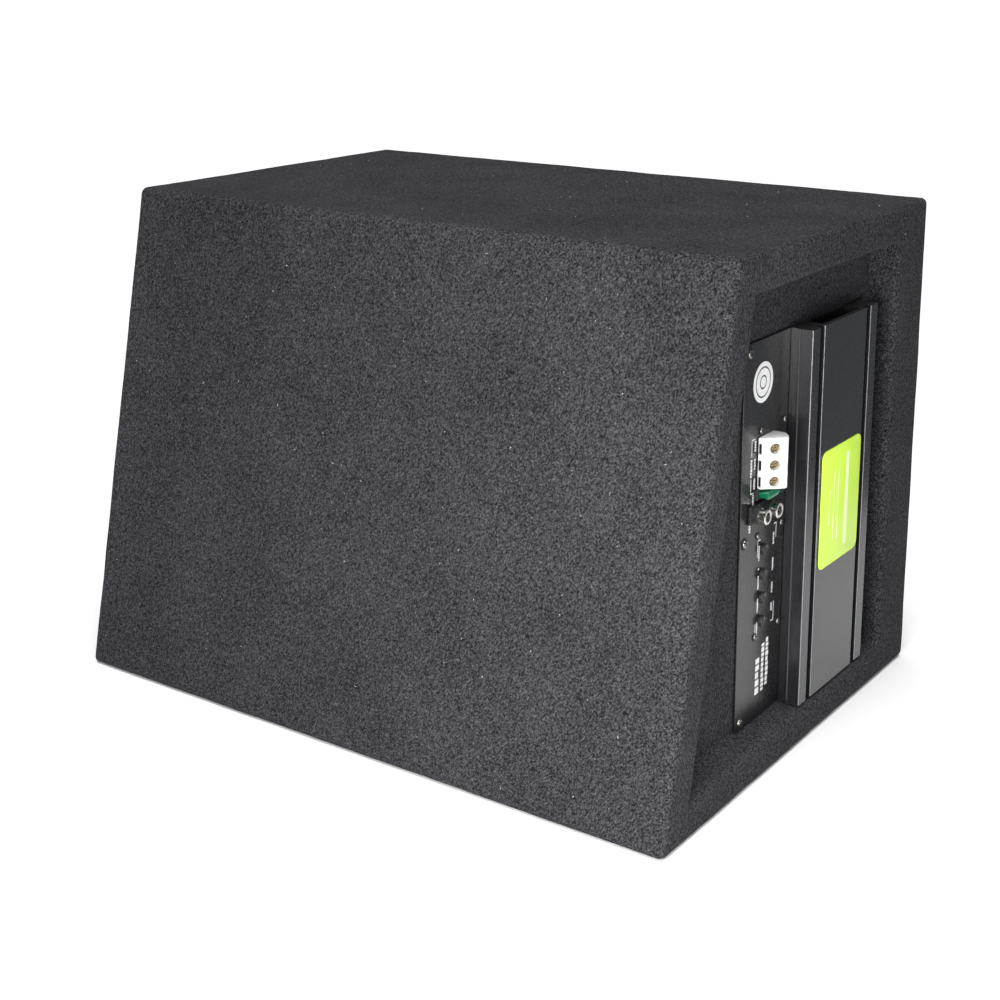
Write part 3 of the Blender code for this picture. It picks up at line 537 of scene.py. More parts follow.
def carpet_cover():
    """The whole felt covering as one soft-edged shell: outside, recess walls and recess back."""
    outer = [(FRONT_Y, 0.0), (BACK_LOW_Y, 0.0), (back_y(HEIGHT), HEIGHT), (FRONT_Y, HEIGHT)]
    cover = prism("carpet_cover", outer, -END_X, END_X)
    rim = RECESS_BACK_RIM
    front = FRONT_Y + RECESS_FRONT
    window = [(front, RECESS_LOW), (back_y(RECESS_LOW, rim), RECESS_LOW)]
    window += [(back_y(RECESS_HIGH, rim), RECESS_HIGH), (front, RECESS_HIGH)]
    recess_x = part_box("carpet_recess_back")[0].x
    subtract(cover, prism("recess_helper", window, -END_X - 0.01, recess_x))
    bm = bmesh.new()
    bm.from_mesh(cover.data)
    bmesh.ops.dissolve_limit(bm, angle_limit=0.01, verts=bm.verts, edges=bm.edges)
    folds = [edge for edge in bm.edges if edge.calc_face_angle(0) > math.radians(20)]
    bevel = {"segments": 5, "profile": 0.5, "affect": "EDGES", "clamp_overlap": True}
    bmesh.ops.bevel(bm, geom=folds, offset=CARPET_EDGE, **bevel)
    bm.to_mesh(cover.data)
    bm.free()
    shell = cover.modifiers.new("thickness", "SOLIDIFY")
    shell.thickness = CARPET
    shell.offset = -1
    apply_modifiers(cover)
    bm = bmesh.new()
    reach = 0.02
    bore = [(0, reach), (DRIVER_BORE, reach), (DRIVER_BORE, -reach), (0, -reach)]
    lathe(bm, bore, 96, DRIVER_PLACE)
    subtract(cover, built("bore_helper", bm))
    lo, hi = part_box("amplifier_chassis")
    room = 0.002
    hole = [(lo.y - room, lo.z - room), (hi.y + room, lo.z - room), (hi.y + room, hi.z + room)]
    hole.append((lo.y - room, hi.z + room))
    subtract(cover, prism("chassis_helper", hole, recess_x - 0.004, recess_x + 0.006))
    settle_carpet(cover)
    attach(cover, "box")
    nodes = ("carpet_wrap", "carpet_bottom", "carpet_plain_end", "carpet_amplifier_end")
    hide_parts(*nodes, "carpet_recess_walls", "carpet_recess_back")
    cover.data.materials.clear()
    cover.data.materials.append(FELT)
    cover.data.shade_smooth()
    cover.data.set_sharp_from_angle(angle=math.radians(40))


def settle_carpet(cover):
    """Cuts the cover into a grid and lets it lie very slightly unevenly over the boards."""
    bm = bmesh.new()
    bm.from_mesh(cover.data)
    pitch = 0.010
    sole = 0.004  # height up to which the carpet stays flat on the floor
    low = Vector((-END_X, FRONT_Y, 0.0))
    high = Vector((END_X, BACK_LOW_Y, HEIGHT))
    for axis in range(3):
        normal = Vector((0, 0, 0))
        normal[axis] = 1.0
        count = int((high[axis] - low[axis]) / pitch)
        for k in range(1, count):
            plane = Vector((0, 0, 0))
            plane[axis] = low[axis] + (high[axis] - low[axis]) * k / count
            geometry = bm.verts[:] + bm.edges[:] + bm.faces[:]
            bmesh.ops.bisect_plane(bm, geom=geometry, plane_co=plane, plane_no=normal, dist=0.00001)
    noise.seed_set(SEED)
    for vert in bm.verts:
        wave = noise.noise_vector(vert.co * 26.0) * 0.00035 + noise.noise_vector(vert.co * 90.0) * 0.00012
        if vert.co.z < sole:
            wave.z = 0.0
        vert.co += wave
    bm.to_mesh(cover.data)
    bm.free()


def strand(bm, rng, root, out, length, lift, width, slot):
    """One loose fibre: a narrow bent ribbon rooted in the felt."""
    aside = Vector((rng.gauss(0, 1), rng.gauss(0, 1), rng.gauss(0, 1)))
    along = (aside - out * aside.dot(out)).normalized()
    across = out.cross(along)
    bend = rng.uniform(-0.35, 0.35)
    rows = []
    for k in range(4):
        t = k / 3
        height = lift * math.sin(math.pi * 0.62 * t) - 0.00010 * (1 - t)
        point = root + along * (length * t) + across * (bend * length * t * t) + out * height
        half = across * (width * (1 - 0.45 * t) / 2)
        rows.append((bm.verts.new(point - half), bm.verts.new(point + half)))
    for first, second in zip(rows, rows[1:]):
        bm.faces.new((first[0], first[1], second[1], second[0])).material_index = slot


def fold_fibres(bm, rng):
    """Fuzz along the folded edges of the carpet."""
    low_front = (FRONT_Y, 0.0)
    low_back = (BACK_LOW_Y, 0.0)
    high_back = (back_y(HEIGHT), HEIGHT)
    high_front = (FRONT_Y, HEIGHT)
    folds = []
    for corner, first, second in (
        (low_back, BACK_OUT, UNDER_OUT),
        (high_back, BACK_OUT, TOP_OUT),
        (high_front, FRONT_OUT, TOP_OUT),
        (low_front, FRONT_OUT, UNDER_OUT),
    ):
        folds.append((Vector((-END_X, *corner)), Vector((END_X, *corner)), first, second))
    for side in (-1, 1):
        for start, stop, out in (
            (low_back, high_back, BACK_OUT),
            (high_back, high_front, TOP_OUT),
            (high_front, low_front, FRONT_OUT),
            (low_front, low_back, UNDER_OUT),
        ):
            ends = [Vector((side * END_X, *corner)) for corner in (start, stop)]
            folds.append((*ends, Vector((side, 0, 0)), out))
    pitch = 0.0010
    floor_room = 0.0014
    for start, stop, first, second in folds:
        count = int((stop - start).length / pitch)
        spread = (first + second).normalized()
        inset = CARPET_EDGE * (spread.dot(first) / max(spread.dot(first) ** 2, 0.4) - 1) + 0.0016
        for k in range(count):
            share = 0.008 + (k + rng.random()) / count * 0.984
            root = start.lerp(stop, share) - spread * inset
            out = (first * rng.uniform(0.2, 1) + second * rng.uniform(0.2, 1)).normalized()
            if root.z + 0.001 * out.z < 0.0012:
                out = Vector((out.x, out.y, abs(out.z))).normalized()
                root.z = max(root.z, floor_room)
            length = rng.uniform(0.0006, 0.0016)
            lift = rng.uniform(0.0005, 0.0014)
            strand(bm, rng, root, out, length, lift, rng.uniform(0.00010, 0.00020), 0)


def felt_spot(kind, u, v):
    """A point of one of the carpet's faces and the way out of it, or nothing where there is no felt."""
    z = HEIGHT * v
    if kind == "back":
        return Vector((u * END_X, back_y(z), z)), BACK_OUT
    if kind == "top":
        return Vector((u * END_X, FRONT_Y + DEPTH_TOP * v, HEIGHT)), TOP_OUT
    if kind == "front":
        root = Vector((u * END_X, FRONT_Y, z))
        under_driver = (root - Vector((0, FRONT_Y, DRIVER_Z))).length < 0.160
        return None if under_driver else (root, FRONT_OUT)
    side = 1 if kind == "plain_end" else -1
    y = FRONT_Y + (back_y(z) - FRONT_Y) * (u + 1) / 2
    room = 0.004
    in_recess = RECESS_LOW - room < z < RECESS_HIGH + room
    in_recess = in_recess and FRONT_Y + RECESS_FRONT - room < y < back_y(z, RECESS_BACK_RIM) + room
    if kind == "amplifier_end" and in_recess:
        return None
    return Vector((side * END_X, y, z)), Vector((side, 0, 0))


def face_fibres(bm, rng):
    """Loose fibres and pale lint scattered over the carpet's faces."""
    counts = {"back": 2600, "top": 1500, "front": 500, "plain_end": 500, "amplifier_end": 500}
    for kind, count in counts.items():
        for k in range(count):
            u = rng.uniform(-0.97, 0.97)
            spot = felt_spot(kind, u, rng.uniform(0.03, 0.97))
            if spot is None:
                continue
            pale = rng.random() < 0.055
            length = rng.uniform(0.0006, 0.0016) if pale else rng.uniform(0.0010, 0.0026)
            width = rng.uniform(0.0003, 0.0006) if pale else rng.uniform(0.00010, 0.00022)
            strand(bm, rng, *spot, length, rng.uniform(0.0002, 0.0006), width, 1 if pale else 0)


def loose_fibres():
    """All the loose fibres as one piece."""
    rng = random.Random(SEED + 2)
    bm = bmesh.new()
    fold_fibres(bm, rng)
    face_fibres(bm, rng)
    belongs(built("felt_fuzz", bm, [FIBRE, LINT], outward=False), "box", "carpet")


# ---- amplifier ---------------------------------------------------------------------------------------------
def heatsink():
    """The black extrusion: a wide panel between grooves and ridges, channelled beside the controls."""
    lo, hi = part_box("heatsink")
    far = lo.y - FRONT_Y
    near = 0.1750
    top = FACE_X - lo.x
    foot = FACE_X - hi.x
    ridge = 0.011
    groove = 0.0065
    floor = top - 0.0055
    skin = top - 0.0035
    inner = ridge + groove + 0.004
    soft = 0.0008  # rounding of the outer corners
    crisp = 0.0003
    outline = [
        (foot, far, 0),
        (top, far, soft),
        (top, far + ridge, soft),
        (floor, far + ridge, crisp),
        (floor, far + ridge + groove, crisp),
        (top, far + ridge + groove, soft),
        (top, near - ridge - groove, soft),
        (floor, near - ridge - groove, crisp),
        (floor, near - ridge, crisp),
        (top, near - ridge, soft),
        (top, near, 0.0010),
        (0.0072, near, 0),
        (0.0067, near + 0.0007, 0.0002),
        (0.0060, near + 0.0007, 0.0002),
        (0.0055, near, 0),
        (foot, near, 0),
        (foot, near - inner, 0),
        (skin, near - inner, 0.0006),
        (skin, far + inner, 0.0006),
        (foot, far + inner, 0),
    ]
    points = rounded_corners([(0, d, p) for p, d, r in outline], [r for p, d, r in outline])
    bm = bmesh.new()
    section = [at(point.y, lo.z, point.z) for point in points]
    extruded(bm, section, Vector((0, 0, hi.z - lo.z)), 0, 1, 0.0002)
    bmesh.ops.recalc_face_normals(bm, faces=bm.faces)
    # painted glint: the rounded faces of the outer edges that face the camera's side take the third look, a
    # lighter metal than the anodised black
    for face in bm.faces:
        glint = face.normal.x < -0.3 and face.normal.y > 0.3 and abs(face.normal.z) < 0.2
        if glint and face.calc_center_median().x < FACE_X - 0.0115:
            face.material_index = 2
    looks = [SINK_BLACK, SAWN, EDGE]
    finish_mesh("heatsink_extrusion", bm, looks, "box", "heatsink_black", ("heatsink",), 5)


def label():
    """The lime label with plain pale stripes where such a label is printed."""
    lo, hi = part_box("heatsink_label")
    corners = [(lo.y, lo.z), (hi.y, lo.z), (hi.y, hi.z), (lo.y, hi.z)]
    bm = bmesh.new()
    outline = [(hi.x, p.x, p.y) for p in rounded_corners(corners, 0.0062, 8)]
    extruded(bm, outline, Vector((lo.x - hi.x, 0, 0)), bevel=0.0001)
    wide = hi.y - lo.y
    tall = hi.z - lo.z
    stripes = [(0.34, 0.080, 0.10, 0.90), (0.56, 0.020, 0.20, 0.80)]
    stripes += [(0.67, 0.020, 0.20, 0.80), (0.78, 0.020, 0.35, 0.65)]
    for place, width, start, end in stripes:
        middle = lo.y + wide * place
        half = wide * width / 2
        low = (lo.x - 0.00004, middle - half, lo.z + tall * start)
        brick(bm, low, (lo.x + 0.0001, middle + half, lo.z + tall * end), 1)
    finish_mesh("label_film", bm, [LABEL, LABEL_PRINT], "box", "label_green", ("heatsink_label",))


def phillips_screw(bm, centre, pole, radius, height, turn):
    """A pan-head screw with a cross recess, on a thin pressed ring; the recess is coloured with the second,
    black look as painted shade.
    """
    place = facing(centre, pole) @ Matrix.Rotation(turn, 4, "Z")
    inner = radius * 1.02
    outer = radius * 1.34
    ring = [(inner, 0.00045), (outer, 0.00045), (outer, 0.00015), (inner, 0.00015), (inner, 0.00045)]
    lathe(bm, ring, 28, place, 1)
    arm = radius * 0.52
    half = radius * 0.13
    depth = height * 0.55
    cross = []
    for k in range(4):
        angle = math.pi / 2 * k
        side = Vector((math.cos(angle), math.sin(angle), 0))
        across = Vector((-side.y, side.x, 0))
        cross += [side * arm - across * half, side * arm + across * half, side * half + across * half]
    count = 12 * 3  # three points of the rim for each corner of the cross
    rim = []
    for k in range(count):
        angle = math.tau * k / count - math.pi / 12
        rim.append(Vector((math.cos(angle), math.sin(angle), 0)))
    rings = []
    for share, level in ((0.62, 1.0), (0.82, 0.90), (0.95, 0.62), (1.0, 0.25), (1.0, 0.0)):
        lifted = Vector((0, 0, height * level))
        rings.append([bm.verts.new(place @ (point * radius * share + lifted)) for point in rim])
    for first, second in zip(rings, rings[1:]):
        band(bm, first, second)
    mouth = [bm.verts.new(place @ (point + Vector((0, 0, height)))) for point in cross]
    base = [bm.verts.new(place @ (point * 0.8 + Vector((0, 0, height - depth)))) for point in cross]
    closed = rings[0] + [rings[0][0]]
    for k in range(12):
        bm.faces.new([mouth[k], *closed[k * 3 : k * 3 + 4], mouth[(k + 1) % 12]])
    # painted shade: the cross recess's walls and floor take the second look, black, where the metal lies in
    # shade
    band(bm, mouth, base, 1)
    bm.faces.new(base).material_index = 1
    bm.faces.new(rings[-1][::-1])


def plate_screws():
    """The six fixing screws of the plate and the six small ones of the control board."""
    rng = random.Random(SEED)
    # the black second look is the real ring under each head and the painted shade in the cross recess
    looks = [SCREW_HEAD, BLACK_PLASTIC]
    for side in ("front", "back"):
        for level in ("low", "middle", "high"):
            node = "plate_screw_%s_%s" % (side, level)
            bm = bmesh.new()
            phillips_screw(bm, plate_seat(node)[0], PLATE_OUT, 0.0030, 0.0017, rng.uniform(0, 3))
            detailed(node, bm, looks, 40)
    places = [(dist, z) for dist in (0.2125, 0.1800) for z in (0.2275, 0.1570, 0.0870)]
    for k, (dist, z) in enumerate(places):
        bm = bmesh.new()
        phillips_screw(bm, at(dist, z), PLATE_OUT, 0.0020, 0.0014, rng.uniform(0, 3))
        finish_mesh("control_screw_%d" % (k + 1), bm, looks, "box", "screw_steel", (), 40)


def knobs():
    """Four small ribbed knobs with a pale pointer line."""
    ribs = 16
    lip = 0.0007
    for name in KNOBS:
        centre, tall, radius = plate_seat(name)
        place = facing(centre, PLATE_OUT)
        profile = [(0, tall - 0.0004), (radius * 0.62, tall - 0.0004), (radius * 0.70, tall)]
        profile += [(radius - lip, tall), (radius - lip * 0.3, tall - lip * 0.3), (radius, tall - lip)]
        profile += [(radius, 0.0008), (radius, 0.0003), (0.0027, 0.0003), (0.0027, -0.004), (0, -0.004)]

        def ribbed(angle, wide, height, limit=radius * 0.9, top=tall - lip * 1.1):
            if wide < limit or height > top:
                return 1.0
            return 1.0 - 0.055 * (0.5 + 0.5 * math.cos(angle * ribs))

        bm = bmesh.new()
        lathe(bm, profile, ribs * 6, place, 0, ribbed)
        up = place.to_3x3().inverted() @ Vector((0, 0, 1))
        pointer = place @ Matrix.Rotation(math.atan2(up.y, up.x), 4, "Z")
        low = (radius * 0.45, -0.00025, tall - 0.0006)
        brick(bm, low, (radius * 0.92, 0.00025, tall + 0.00006), 1, place=pointer)
        detailed(name, bm, [KNOB_BLACK, GREY_INK], 45)


def terminal_block():
    """The clear three-way block with its dark contact cages and brass screws."""
    lo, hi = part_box("terminal_block")
    near = hi.y
    high = FACE_X - lo.x
    low_wall = 0.0032
    run = 0.0116  # distance over which the screws' slanted face rises
    rise = high - low_wall
    entry = 0.0030  # proud height of the wire entries' upper edge
    section = [
        (0.0004, near - 0.0205),
        (high - 0.0062, near - 0.0203),
        (high - 0.0008, near - run - 0.0030),
        (high, near - run - 0.0010),
        (high, near - run + 0.0001),
        (low_wall, near),
        (0.0004, near),
    ]
    section = rounded_corners([(FACE_X - proud, y) for proud, y in section], 0.0005, 3)
    screws = [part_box(name + "_terminal_screw") for name in TERMINALS]
    heights = [(low.z + top.z) / 2 for low, top in screws]
    bm = bmesh.new()
    extruded(bm, [(p.x, p.y, lo.z) for p in section], Vector((0, 0, hi.z - lo.z)), bevel=0.0004)
    block = built("terminal_block_detailed", bm)
    out = Vector((-run, rise, 0)).normalized()
    along = Vector((-rise, -run, 0)).normalized()
    for z in heights:
        middle = Vector((FACE_X - low_wall - rise * 0.53, near - run * 0.53, z))
        bm = bmesh.new()
        well = [(0, 0.004), (0.0037, 0.004), (0.0033, -0.0058), (0, -0.0058)]
        lathe(bm, well, 40, facing(middle, out))
        wire_low = (FACE_X - entry, near - 0.0048, z - 0.0035)
        brick(bm, wire_low, (FACE_X - 0.0006, near + 0.003, z + 0.0035), 0, 0.0003)
        subtract(block, built("cell_helper", bm))
    for k in range(2):
        z = (heights[k] + heights[k + 1]) / 2
        place = Matrix((along.to_4d(), Vector((0, 0, 1, 0)), out.to_4d(), Vector((0, 0, 0, 1)))).transposed()
        place.translation = Vector((FACE_X - high - 0.001, near - run - 0.0008, z)) + out * 0.0010
        bm = bmesh.new()
        brick(bm, (-0.024, -0.00035, -0.0022), (0.004, 0.00035, 0.0020), place=place)
        subtract(block, built("groove_helper", bm))
    block.data.materials.append(CLEAR)
    block.data.shade_smooth()
    block.data.set_sharp_from_angle(angle=math.radians(30))
    belongs(block, "box", "clear_plastic", "terminal_block")
    for name, (low, top) in zip(TERMINALS, screws):
        brass_screw(name + "_terminal_screw", (low + top) / 2, out)
    bm = bmesh.new()
    for z in heights:
        low = (FACE_X - entry + 0.0001, near - 0.0047, z - 0.0033)
        brick(bm, low, (FACE_X - 0.0007, near - 0.0012, z + 0.0033), 0, 0.0002)
    finish_mesh("terminal_cages", bm, [CAGE], "box", "brass", (), 20)


def brass_screw(node, middle, out):
    """A brass terminal screw with a long slot and a short one across it."""
    radius = 0.0031
    top = 0.0011
    place = facing(middle, out)
    bm = bmesh.new()
    profile = [(0, top), (radius * 0.86, top), (radius * 0.97, top - 0.0002), (radius, top - 0.0005)]
    profile += [(radius, -0.0011), (radius * 0.93, -0.0013), (0, -0.0013)]
    lathe(bm, profile, 40, place)
    obj = detailed(node, bm, [BRASS, DARK_STEEL])
    for turn, share in ((0.0, 1.2), (math.pi / 2, 0.55)):
        slot_place = place @ Matrix.Translation((0, 0, top)) @ Matrix.Rotation(turn, 4, "Z")
        bm = bmesh.new()
        brick(bm, (-radius * share, -0.00045, -0.0009), (radius * share, 0.00045, 0.001), place=slot_place)
        subtract(obj, built("slot_helper", bm))


def blade_fuse():
    """A green blade fuse: a clear body with raised ends, a metal bridge inside and two plated blades."""
    lo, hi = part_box("blade_fuse")
    bm = bmesh.new()
    low = (lo.x + 0.0008, lo.y + 0.0006, lo.z + 0.0003)
    brick(bm, low, (FACE_X - 0.0012, hi.y - 0.0006, hi.z - 0.0003), 0, 0.0004)
    brick(bm, lo, (lo.x + 0.0022, hi.y, hi.z), 0, 0.0004)
    middle = (lo.z + hi.z) / 2
    wide = 0.0052
    inside = lo.x + 0.0030
    for y in (lo.y + 0.0012, hi.y - 0.0012 - wide):
        brick(bm, (inside, y, middle - 0.0004), (FACE_X + 0.0058, y + wide, middle + 0.0004), 1, 0.0001)
    bridge = 0.00025
    brick(bm, (inside, lo.y + 0.0040, middle - bridge), (lo.x + 0.0042, hi.y - 0.0040, middle + bridge), 1)
    detailed("blade_fuse", bm, [GREEN, BRIGHT])


def jacks():
    """Two plated phono jacks with a dark collar; their insulator and the floor of the centre hole are dark,
    as painted shade deep in the barrel.
    """
    looks = [NICKEL, JACK_CORE, BLACK_PLASTIC]
    for node in ("signal_jack_left", "signal_jack_right"):
        centre, tall, unused = plate_seat(node)
        place = facing(centre, PLATE_OUT)
        bm = bmesh.new()
        barrel = [(0.0031, tall - 0.0046), (0.0031, tall - 0.0002), (0.0033, tall), (0.0046, tall)]
        barrel += [(0.0050, tall - 0.0004), (0.0050, tall - 0.0016), (0.0047, tall - 0.0020)]
        barrel += [(0.0042, tall - 0.0021), (0.0042, 0.0027), (0.0033, 0.0027)]
        barrel += [(0.0033, -0.0055), (0, -0.0055)]
        lathe(bm, barrel, 40, place, 0)
        # the insulator and the black floor of the centre hole are dark as painted shade deep in the barrel
        core = [(0.0016, tall - 0.0080), (0.0016, tall - 0.0036), (0.0018, tall - 0.0034)]
        core += [(0.0029, tall - 0.0034), (0.00305, tall - 0.0036), (0.00305, tall - 0.0044)]
        lathe(bm, core, 32, place, 1)
        lathe(bm, [(0, tall - 0.0079), (0.0018, tall - 0.0079)], 24, place, 2)
        collar = [(0.0043, 0.0064), (0.0052, 0.0064), (0.0055, 0.0060), (0.0055, 0.0026), (0.0043, 0.0026)]
        lathe(bm, collar + [collar[0]], 32, place, 2)
        detailed(node, bm, looks)


def lamp():
    """The small clear power lamp."""
    centre, tall, radius = plate_seat("power_lamp")
    dome = []
    for k in range(7):
        angle = math.pi / 2 * k / 6
        dome.append((radius * math.sin(angle), tall - radius * (1 - math.cos(angle))))
    dome += [(radius, 0.0012), (radius * 1.12, 0.0010), (radius * 1.12, 0.0003), (radius * 0.9, 0.0003)]
    dome += [(radius * 0.9, -0.0028), (0, -0.0028)]
    bm = bmesh.new()
    lathe(bm, dome, 28, facing(centre, PLATE_OUT))
    detailed("power_lamp", bm, [LENS], 40)


def plate_print():
    """Plain white marks on the plate: brackets and rows of small blocks, with no lettering."""
    rng = random.Random(SEED + 3)
    bm = bmesh.new()

    def mark(d0, d1, z0, z1):
        brick(bm, at(d1, z0, 0.00005), at(d0, z1, -0.00002))

    def bracket(dist, z0, z1, reach, arm_z):
        line = 0.0003
        mark(dist - line, dist + line, z0, z1)
        mark(min(dist, dist + reach), max(dist, dist + reach), arm_z - line, arm_z + line)

    def column(dist, width, z0, z1, block):
        z = z0
        while z < z1 - block * 0.4:
            tall = min(block * rng.uniform(0.7, 1.15), z1 - z)
            inset = width * rng.choice((0.0, 0.0, 0.18))
            mark(dist - width / 2 + inset, dist + width / 2, z, z + tall)
            z += tall + block * 0.28

    # round the terminals and the jacks
    bracket(0.2241, 0.2131, 0.2238, -0.0040, 0.2238)
    bracket(0.2241, 0.1883, 0.1980, -0.0040, 0.1883)
    column(0.2241, 0.0020, 0.1995, 0.2115, 0.0016)
    for low, high in ((0.2156, 0.2225), (0.2036, 0.2110), (0.1905, 0.1977)):
        column(0.2195, 0.0020, low, high, 0.0016)
    column(0.2205, 0.0020, 0.1798, 0.1872, 0.0016)
    column(0.2240, 0.0022, 0.1625, 0.1779, 0.0016)
    mark(0.2085, 0.2100, 0.1645, 0.1660)
    # beside the knobs, with a short mark at each end of a knob's turn
    for z0, z1, arm_z in ((0.1420, 0.1533, 0.1533), (0.0850, 0.0962, 0.0850)):
        bracket(0.2118, z0, z1, -0.0035, arm_z)
    for z0, z1, arm_z in ((0.1486, 0.1588, 0.1588), (0.0906, 0.1037, 0.0906)):
        bracket(0.1865, z0, z1, 0.0035, arm_z)
    rows = ((0.1390, 0.1500), (0.1330, 0.1345), (0.1195, 0.1295), (0.1030, 0.1130), (0.0870, 0.0965))
    for low, high in rows:
        column(0.2096, 0.0016, low, high, 0.0013)
    for low, high in ((0.1447, 0.1530), (0.1265, 0.1360), (0.1107, 0.1180), (0.0980, 0.1040)):
        column(0.1897, 0.0018, low, high, 0.0013)
    reach = 0.0058
    dot = 0.0004
    for knob in KNOBS:
        centre = plate_seat(knob)[0]
        for angle in (math.radians(-136), math.radians(136)):
            d = centre.y - FRONT_Y + reach * math.sin(angle)
            z = centre.z + reach * math.cos(angle)
            mark(d - dot, d + dot, z - dot, z + dot)
    # at the foot of the plate
    column(0.2070, 0.0052, 0.0443, 0.0723, 0.0042)
    column(0.1995, 0.0040, 0.0443, 0.0780, 0.0028)
    column(0.1936, 0.0038, 0.0466, 0.0804, 0.0028)
    finish_mesh("plate_print", bm, [INK], "box", "amplifier_black", (), 0)


def emblem():
    """A plain generic sign on the plate: a white disc with two thin gaps, like a speaker seen head-on."""
    bm = bmesh.new()
    place = facing(at(0.2115, 0.2590), PLATE_OUT)
    high = 0.00006
    low = -0.00002
    for inner, outer in ((0.0101, 0.0132), (0.0046, 0.0091)):
        lathe(bm, [(inner, high), (outer, high), (outer, low), (inner, low), (inner, high)], 48, place)
    lathe(bm, [(0, high), (0.0036, high), (0.0036, low), (0, low)], 32, place)
    finish_mesh("plate_emblem", bm, [INK], "box", "amplifier_black", (), 0)


# ---- driver ------------------------------------------------------------------------------------------------
def driver_gasket():
    """The trim ring over the basket's flange, with its eight screws."""
    bm = bmesh.new()
    low = 0.0023
    profile = [(0.1395, low), (0.1395, 0.0041), (0.1399, 0.0045), (0.1422, 0.0047), (0.1430, 0.0041)]
    profile += [(0.1438, 0.0047), (0.1470, 0.0051), (0.1512, 0.0049), (0.1538, 0.0042), (0.1549, 0.0030)]
    profile += [(0.1550, low), (0.1395, low)]
    lathe(bm, profile, 128, DRIVER_PLACE)
    finish_mesh("driver_trim_ring", bm, [GASKET], "box", "rubber", ("driver_gasket",), 40)
    rng = random.Random(SEED + 1)
    bolt_circle = 0.1472
    # the black second look is the real ring under each head and the painted shade in the cross recess
    looks = [DARK_STEEL, BLACK_PLASTIC]
    for k in range(8):
        angle = math.radians(22.5 + 45 * k)
        local = Vector((bolt_circle * math.cos(angle), bolt_circle * math.sin(angle), 0.0046))
        bm = bmesh.new()
        phillips_screw(bm, DRIVER_PLACE @ local, FRONT_OUT, 0.0038, 0.0024, rng.uniform(0, 3))
        finish_mesh("driver_screw_%d" % (k + 1), bm, looks, "box", "screw_steel", (), 40)


def surround_profile():
    """The half-roll surround's closed section: lip, glue bead, roll and inner lip, then back underneath."""
    thick = 0.0011
    low = 0.0023
    high = low + thick
    rise = FRONT_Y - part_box("driver_surround")[0].y - high
    centre = (ROLL_OUTER + ROLL_INNER) / 2
    half = (ROLL_OUTER - ROLL_INNER) / 2
    steps = 14
    roll = []
    under = []
    for k in range(steps + 1):
        angle = math.pi * k / steps
        roll.append((centre + half * math.cos(angle), high + rise * math.sin(angle)))
        under.append((centre + (half - thick) * math.cos(angle), low + rise * math.sin(angle)))
    bead = [(0.1338, high), (0.1334, high + 0.0006), (0.1326, high + 0.0006), (0.1322, high)]
    front = [(LIP_OUTER, high)] + bead + roll + [(LIP_INNER, high)]
    return front + [(LIP_INNER, low)] + under[::-1] + [(LIP_OUTER, low)]


def surround():
    """The surround in sectors between basket and cone, each swept over its own stretch of the rim."""
    profile = surround_profile()
    sectors = 24
    step = math.tau / sectors
    sliver = step * 0.004  # a thin slice at each side keeps the shading of neighbours alike
    for s in range(sectors):
        stops = [s * step, s * step + sliver] + [s * step + step * k / 4 for k in (1, 2, 3)]
        stops += [(s + 1) * step - sliver, (s + 1) * step]
        bm = bmesh.new()
        rows = []
        for angle in stops:
            spin = Vector((math.cos(angle), math.sin(angle), 0))
            rows.append([bm.verts.new(DRIVER_PLACE @ (spin * r + Vector((0, 0, h)))) for r, h in profile])
        for first, second in zip(rows, rows[1:]):
            band(bm, first, second)
        bm.faces.new(rows[0])
        bm.faces.new(rows[-1][::-1])
        obj = built("surround_sector_%02d" % (s + 1), bm, [RUBBER], 45)
        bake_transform(obj)
        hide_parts("driver_surround")


def cone():
    """The pulp cone with a gentle curve and fine ribs, and its dust cap."""
    steps = 22
    edge = 0.1094
    throat = 0.0262
    deep = 0.0430
    front = []
    for k in range(steps + 1):
        share = k / steps
        sag = 0.00032 * math.sin(math.pi * share)
        rib = 0.00028 * math.cos(share * 9 * math.tau)
        front.append((edge + (throat - edge) * share, -deep * share - 0.0002 - sag + rib))
    back = [(radius, height - 0.0011) for radius, height in reversed(front)]
    bm = bmesh.new()
    lathe(bm, front + back + [front[0]], 120, DRIVER_PLACE)
    detailed("driver_cone", bm, [PULP], 60)
    lo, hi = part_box("dust_cap")
    peak = FRONT_Y - lo.y
    foot = FRONT_Y - hi.y
    rim = (hi.z - lo.z) / 2
    dome = []
    for k in range(19):
        share = k / 18
        dome.append((rim * share, peak - (peak - foot) * (0.60 * share**2 + 0.40 * share**5)))
    inner = [(max(radius - 0.0002, 0.0), height - 0.0009) for radius, height in reversed(dome)]
    bm = bmesh.new()
    lathe(bm, dome + inner, 96, DRIVER_PLACE)
    bead = [(rim - 0.0016, foot + 0.0004), (rim - 0.0004, foot + 0.0016), (rim + 0.0008, foot + 0.0014)]
    bead += [(rim + 0.0016, foot + 0.0010), (rim + 0.0010, foot - 0.0004)]
    lathe(bm, bead + [bead[0]], 96, DRIVER_PLACE, 1)
    detailed("dust_cap", bm, [PULP, RUBBER], 60)


# ---- CAD nodes that keep their shape -----------------------------------------------------------------------
def dress(look, *nodes):
    """Gives CAD nodes a finish."""
    for node in nodes:
        mesh = frame["nodes"][node].data
        mesh.materials.clear()
        mesh.materials.append(look)


